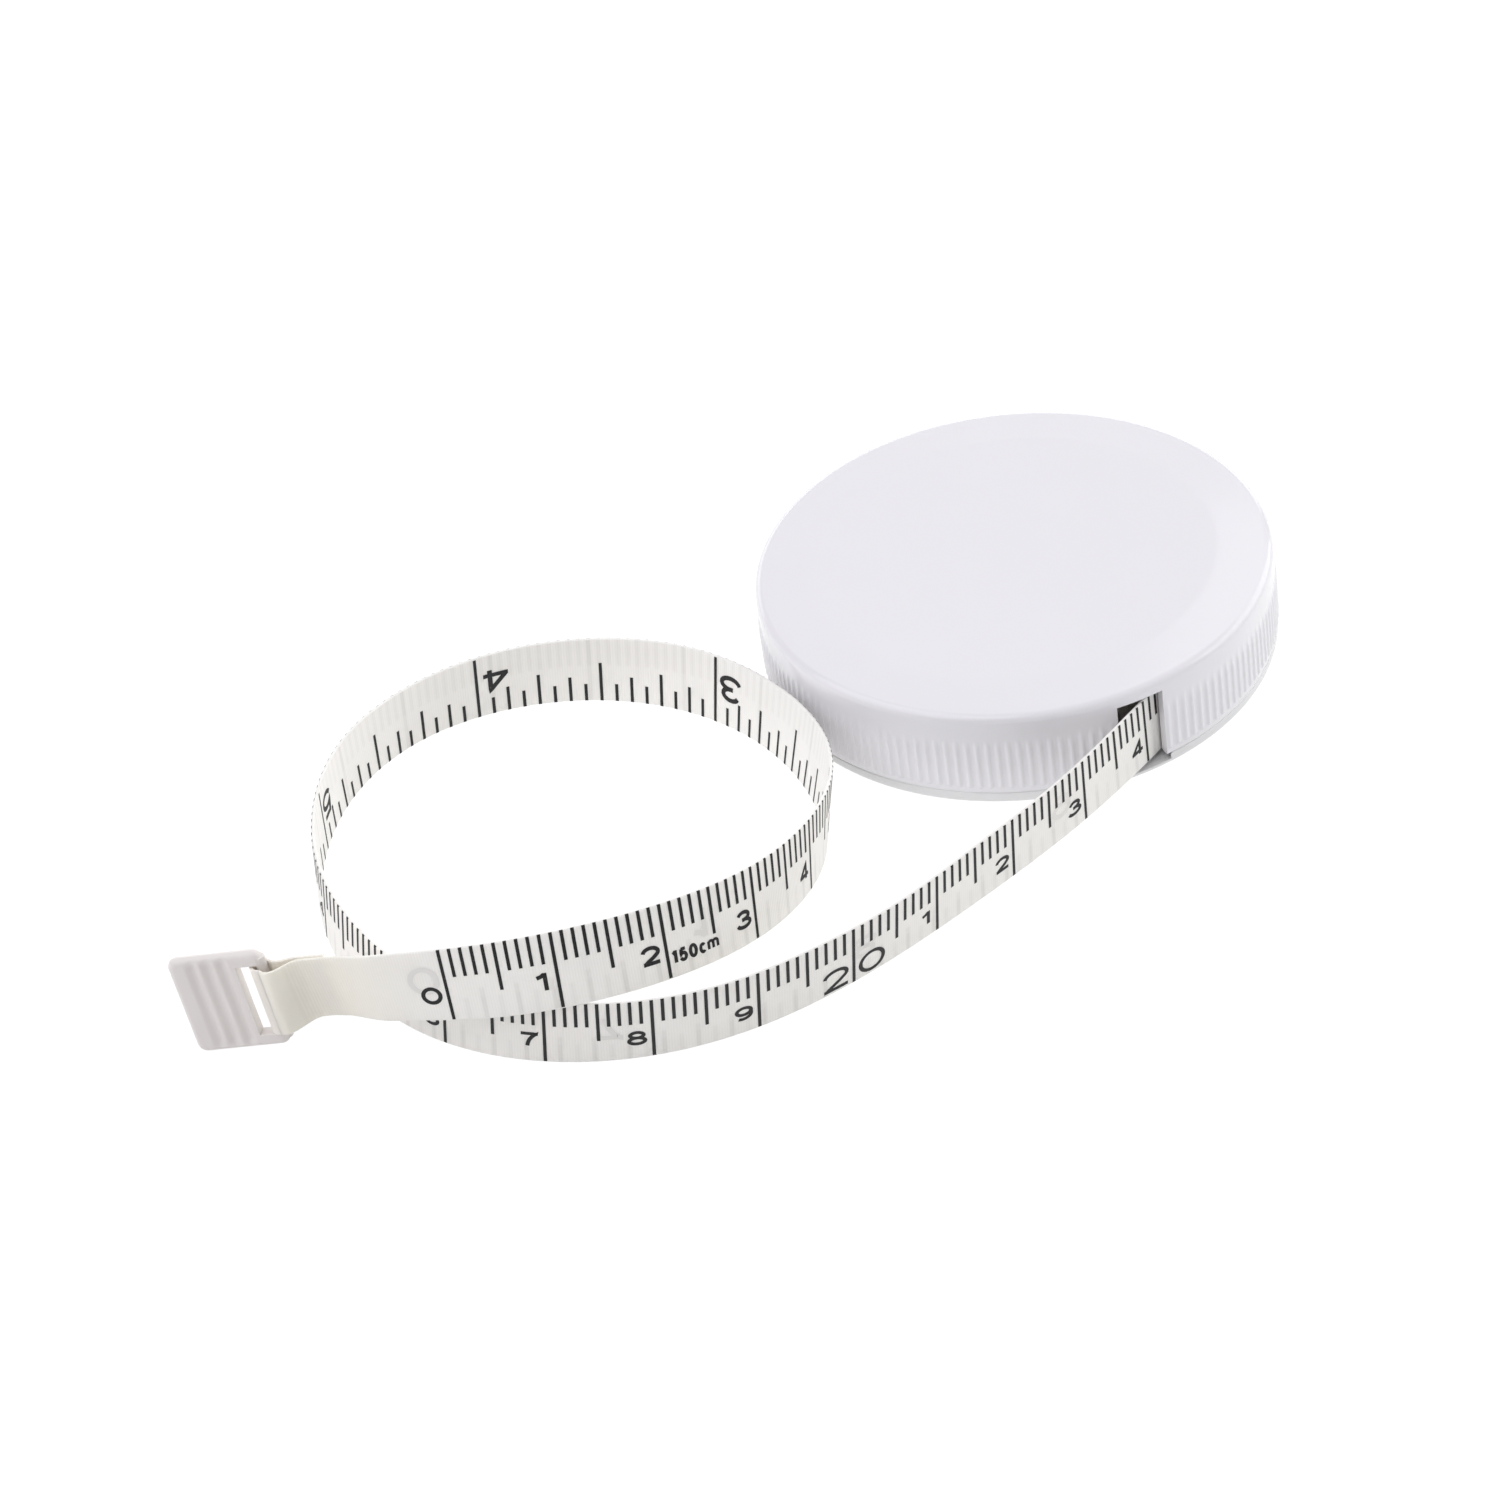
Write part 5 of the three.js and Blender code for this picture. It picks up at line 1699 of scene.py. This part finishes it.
@dataclass
class Button:
    """The round push button in the recess under the case."""

    radius: float = 5.9 * MM
    foot: float = 0.15 * MM
    edge: float = 0.3 * MM
    collar_radius: float = 6.7 * MM
    collar_low: float = 1.8 * MM
    collar_high: float = 2.8 * MM
    stem_radius: float = 4 * MM
    stem_bore: float = 3 * MM
    stem_top: float = 7.4 * MM
    floor: float = 2 * MM
    ring_pitch: float = 1.2 * MM
    ring_depth: float = 0.12 * MM
    # Where the rings start and how many there are, in pitches
    ring_start: float = 0.75
    ring_count: int = 3
    face_points: int = 70
    edge_points: int = 6
    columns: int = 128

    def build(self) -> None:
        """Makes the button, with grip rings on its face, waves depth (1 - cos a) / 2 with a full turn for each."""
        across = np.linspace(0, self.radius - self.edge, self.face_points)
        waves = across / self.ring_pitch - self.ring_start
        ringed = (waves > 0) & (waves < self.ring_count)
        face = self.foot + self.ring_depth / 2 * (1 - np.cos(TAU * waves)) * ringed
        turn = np.linspace(0, math.pi / 2, self.edge_points)[1:]
        edge_across = self.radius - self.edge + self.edge * np.sin(turn)
        edge_up = self.foot + self.edge - self.edge * np.cos(turn)
        profile = [*zip(across, face), *zip(edge_across, edge_up), (self.radius, self.collar_low),
                   (self.collar_radius, self.collar_low), (self.collar_radius, self.collar_high),
                   (self.stem_radius, self.collar_high), (self.stem_radius, self.stem_top),
                   (self.stem_bore, self.stem_top), (self.stem_bore, self.floor), (0, self.floor)]
        mesh = turned("button_cap", np.array(profile), self.columns)
        piece = new_piece("button_cap", mesh, BUTTON_PLASTIC, "button")
        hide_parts("push_button")


@dataclass
class GripTab:
    """The grip plate with soft ridges, a window and the round bar that the tape folds over."""

    place: TabFrame
    length: float = 9.25 * MM
    height: float = 10.8 * MM
    thickness: float = 1.25 * MM
    rounding: float = 0.6 * MM
    corner: float = 0.95 * MM
    bar_radius: float = 0.55 * MM
    bar_chamfer: float = 0.05 * MM
    bar_sides: int = 40
    past_bar: float = 0.3 * MM
    # The window behind the bar, and how far its block runs out over the bar
    window: float = 1.85 * MM
    window_height: float = 8 * MM
    window_out: float = 2 * MM
    groove_first: float = 1.6 * MM
    groove_pitch: float = 1.51 * MM
    groove_count: int = 3
    ridge_depth: float = 0.34 * MM
    ridge_fade: float = 1.1 * MM
    edge: float = 0.12 * MM
    rows: int = 60
    columns: int = 140

    def level(self, x: np.ndarray) -> np.ndarray:
        """The face's level along the plate, one on the ridges and nought in the hollows.

        The hollows are waves (1 + cos a) / 2, where a goes a full turn for each.

        Args:
            x: Places along the plate.

        Returns:
            Their levels.
        """
        waves = (x - (self.past_bar - self.length) - self.groove_first) / self.groove_pitch
        return 0.5 + 0.5 * np.cos(TAU * np.clip(waves, 0, self.groove_count))

    def plate(self) -> bpy.types.Mesh:
        """The plate, two sheets that meet at its outline, a rectangle with rounded corners.

        At a distance d inside the outline, up to the rounding e, each sheet stands half the thickness times
        sqrt(1 - (1 - d/e)^2) out. The ridges fade in from the outline. The grid is closest at its edges.

        Returns:
            The mesh.
        """
        half_x, half_y = self.length / 2, self.height / 2
        swing_y = np.sin(np.linspace(-math.pi / 2, math.pi / 2, self.rows + 1))
        swing_x = np.sin(np.linspace(-math.pi / 2, math.pi / 2, self.columns + 1))
        y = half_y * swing_y[:, None]
        into = np.maximum(np.abs(y) - (half_y - self.corner), 0)
        reach = half_x - self.corner + np.sqrt(np.maximum(self.corner**2 - into**2, 0))
        x = reach * swing_x[None, :]
        y = np.broadcast_to(y, x.shape)
        past = np.stack([np.abs(x) - (half_x - self.corner), np.abs(y) - (half_y - self.corner)])
        outside = np.hypot(*np.maximum(past, 0)) + np.minimum(past.max(axis=0), 0)
        inside = np.maximum(self.corner - outside, 0)
        rounded = np.sqrt(1 - (1 - np.minimum(inside / self.rounding, 1)) ** 2)
        x = x + self.past_bar - half_x
        sunk = self.ridge_depth * (1 - self.level(x)) * smooth(np.clip(inside / self.ridge_fade, 0, 1))
        z = np.where(inside > TINY, self.thickness / 2 * rounded - sunk, 0)
        sheets = [np.stack([x, y, side * z], axis=-1).reshape(-1, 3) for side in (1, -1)]
        corner = (np.arange(self.rows)[:, None] * (self.columns + 1) + np.arange(self.columns)).ravel()
        quads = np.column_stack([corner, corner + 1, corner + self.columns + 2, corner + self.columns + 1])
        faces = np.vstack([quads, quads[:, ::-1] + len(sheets[0])])
        return tidy_mesh(mesh_of("grip_tab", np.vstack(sheets), faces.tolist()))

    def build(self) -> bpy.types.Object:
        """Makes the tab.

        Returns:
            The piece.
        """
        half = self.window_height / 2
        low = (-self.bar_radius - self.window, -half, -2 * self.thickness)
        high = (self.bar_radius + self.window_out, half, 2 * self.thickness)
        plate = cut_out(self.plate(), [box_mesh("opening", low, high, Matrix())], self.edge)
        reach = half + (self.height / 2 - half) / 2
        bar = chamfered_pin("bar", self.bar_radius, -reach, reach, self.bar_chamfer, self.bar_sides)
        bar.transform(Matrix.Rotation(math.pi / 2, 4, "X"))
        mesh = joined("grip_tab", [plate, bar])
        mesh.transform(self.place.matrix())
        piece = new_piece("grip_tab", mesh, TAB_PLASTIC, "tab")
        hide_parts("end_tab")
        return piece


# How far below nought the map starts on a ribbon inside, which bears no print
BLANK = 1 * MM


def flat_ribbon(
    name: str, line: np.ndarray, foot: float, width: float, thickness: float, edge: float
) -> bpy.types.Mesh:
    """An upright ribbon along a level line.

    Each point of the cross-section goes out from the line, square to its heading, and up from the foot.

    Args:
        name: The mesh's name.
        line: Rows of x and y.
        foot: The height of its lower edge.
        width: Its width, upwards.
        thickness: Its thickness.
        edge: The rounding of its edges.

    Returns:
        The mesh.
    """
    section = tape_section(width, thickness, edge)
    heading = np.gradient(line, axis=0)
    heading /= np.linalg.norm(heading, axis=1, keepdims=True)
    outward = np.column_stack([heading[:, 1], -heading[:, 0]])
    level = line[:, None] + outward[:, None] * section[None, :-1, 1, None]
    height = np.broadcast_to(foot + section[:-1, 0], level.shape[:2])
    points = np.concatenate([level, height[..., None]], axis=-1)
    walked = np.concatenate([[0], np.cumsum(np.linalg.norm(np.diff(line, axis=0), axis=1))])
    return tidy_mesh(ribbon(name, points, -walked - BLANK, section[:, 2]))


@dataclass
class Works:
    """What turns and presses inside the case: the tape's coil, the springs, the reel and the brake."""

    path: TapePath
    tape_floor: float = 1.4 * MM
    coil_inner: float = 14.6 * MM
    coil_outer: float = 18.78 * MM
    coil_pitch: float = 0.38 * MM
    coil_points: int = 120
    turn_radius: float = 19.256 * MM
    turn_arc: float = math.radians(290)
    turn_points: int = 200
    lead_points: int = 30
    spring_start: float = 8.64 * MM
    spring_end: float = 12.46 * MM
    spring_turns: float = 5.25
    spring_points: int = 100
    spring_thickness: float = 0.28 * MM
    spring_edge: float = 0.06 * MM
    spring_floor: float = 2.45 * MM
    spring_height: float = 2.45 * MM
    spring_hook: float = 0.45 * MM
    hook_points: int = 8
    spring_gap: float = 0.02 * MM
    arbor_tang: float = 7.3 * MM
    drum_tang: float = 13.91 * MM
    wire_radius: float = 0.175 * MM
    wire_sides: int = 14
    wire_foot: float = 8.425 * MM
    wire_rise: float = 1.15 * MM
    wire_base: float = 5.2 * MM
    wire_top: float = 3.8 * MM
    wire_turns: float = 2
    wire_rows: int = 240
    wire_stroke: float = 0.8 * MM

    def coil(self) -> None:
        """Makes the wound tape, a spiral whose radius grows by the pitch with each turn."""
        path = self.path
        inner, outer = self.coil_inner + path.thickness / 2, self.coil_outer - path.thickness / 2
        turns = (outer - inner) / self.coil_pitch
        angle = TAU * np.linspace(0, turns, int(turns * self.coil_points))
        radius = inner + self.coil_pitch * angle / TAU
        line = np.column_stack([radius * np.cos(angle), radius * np.sin(angle)])
        mesh = flat_ribbon("tape_roll", line, self.tape_floor, path.width, path.thickness, path.edge)
        piece = new_piece("tape_roll", mesh, PLAIN_CLOTH, "reel")
        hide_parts("tape_wound")

    def turn(self) -> None:
        """Makes the coil's outer turn, and the arc that leads it to the mouth.

        The arc starts at the route's first point, square to the radius of its own circle there, and meets
        the turn's circle from outside.
        """
        path = self.path
        start = path.middle[0, :2]
        inward = -path.along[0, :2] / np.linalg.norm(path.along[0, :2])
        left = np.array([-inward[1], inward[0]])
        arc = (self.turn_radius**2 - start @ start) / (2 * (start @ left + self.turn_radius))
        centre = start + left * arc
        meeting = math.atan2(-centre[1], -centre[0])
        first = math.atan2(-left[1], -left[0])
        swept = np.linspace(first, meeting, self.lead_points)[:-1]
        lead = centre + arc * np.column_stack([np.cos(swept), np.sin(swept)])
        swept = meeting + np.linspace(0, self.turn_arc, self.turn_points)
        line = np.vstack([lead, self.turn_radius * np.column_stack([np.cos(swept), np.sin(swept)])])
        mesh = flat_ribbon("tape_turn", line, self.tape_floor, path.width, path.thickness, path.edge)
        piece = new_piece("tape_turn", mesh, PLAIN_CLOTH, "case")
        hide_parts("tape_lead")

    def power_spring(self) -> None:
        """Makes the power spring, whose outer tang turns with the drum that holds it.

        Its radius grows evenly with the angle, and a quarter circle bends it into a straight tang at either end.
        """
        hook = self.spring_hook
        bend = np.linspace(0, math.pi / 2, self.hook_points)
        first = self.spring_start - hook
        tang_in = [(self.arbor_tang, -hook), *zip(first + hook * np.sin(bend[:-1]), -hook * np.cos(bend[:-1]))]
        end = TAU * self.spring_turns
        angle = np.linspace(0, end, int(self.spring_turns * self.spring_points))
        radius = np.linspace(self.spring_start, self.spring_end, len(angle))
        spiral = np.column_stack([radius * np.cos(angle), radius * np.sin(angle)])
        across = self.spring_end + hook * (1 - np.cos(bend[1:]))
        turn_out = np.array([[math.cos(end), math.sin(end)], [-math.sin(end), math.cos(end)]])
        hook_out = np.column_stack([across, hook * np.sin(bend[1:])]) @ turn_out
        tang_out = np.array([(self.spring_end + hook + self.spring_gap, hook), (self.drum_tang, hook)]) @ turn_out
        line = np.vstack([tang_in, spiral, hook_out])
        section = (self.spring_floor, self.spring_height, self.spring_thickness, self.spring_edge)
        for name, way, body in (("spring_ribbon", line, "case"), ("spring_tang", tang_out, "reel")):
            piece = new_piece(name, flat_ribbon(name, way, *section), SPRING_STEEL, body)
            if body == "case":
                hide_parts("power_spring")

    def brake_spring(self) -> None:
        """Makes the brake's coil spring, a wire on a cone: radius and height change evenly with the angle."""
        share = np.linspace(0, 1, self.wire_rows)
        angle = TAU * self.wire_turns * share
        radius = self.wire_base + (self.wire_top - self.wire_base) * share
        out = np.column_stack([np.cos(angle), np.sin(angle), np.zeros(len(angle))])
        centre = out * radius[:, None] + np.outer(self.wire_foot + self.wire_rise * share, (0, 0, 1))
        around = TAU * np.arange(self.wire_sides) / self.wire_sides
        ring = self.wire_radius * (out[:, None] * np.cos(around)[None, :, None]
                                   + np.array((0, 0, 1)) * np.sin(around)[None, :, None])
        points = (centre[:, None] + ring).reshape(-1, 3)
        mesh = tidy_mesh(mesh_of("spring_coil", points, tube_faces(self.wire_rows, self.wire_sides, ends=True)))
        piece = new_piece("spring_coil", mesh, SPRING_STEEL, "case")
        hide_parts("brake_spring")
        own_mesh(piece)

    def plain_pieces(self) -> None:
        """Gives the inner pieces their finishes."""
        finishes = {
            "fixed_arbor": INNER_PLASTIC, "arbor_clip": STEEL, "drum_washer": STEEL, "reel_drum": INNER_PLASTIC,
            "spring_retainer": INNER_PLASTIC, "tape_anchor": INNER_PLASTIC, "brake_disc": INNER_PLASTIC,
            "brake_pad_1": RUBBER, "brake_pad_2": RUBBER, "brake_pad_3": RUBBER,
        }
        for name, finish in finishes.items():
            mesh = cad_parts[name].data
            mesh.materials.clear()
            mesh.materials.append(material_of(finish))
            soften(mesh)
            log.info("%s: %s", name, finish.name)

    def build(self) -> None:
        """Makes them all."""
        self.coil()
        self.turn()
        self.power_spring()
        self.brake_spring()
        self.plain_pieces()


def main() -> None:
    """Builds the scene in order and reports each piece."""
    logging.basicConfig(level=logging.INFO, format="%(message)s")
    studio = Studio()
    studio.camera()
    path = TapePath()
    tape = FreeTape(path)
    ribbon_piece = tape.free()
    tab_frame = TabFrame(path, tape.loop_radius)
    fold = tape.hem(tab_frame)
    prints = TapePrint(path)
    marks = [prints.centimetres(), prints.inches(), prints.show_through()]
    tab = GripTab(tab_frame).build()
    tape.declare()
    case = Case(path)
    case.cover()
    case.base()
    Button().build()
    Works(path).build()
    studio.build()


if __name__ == "__main__":
    main()
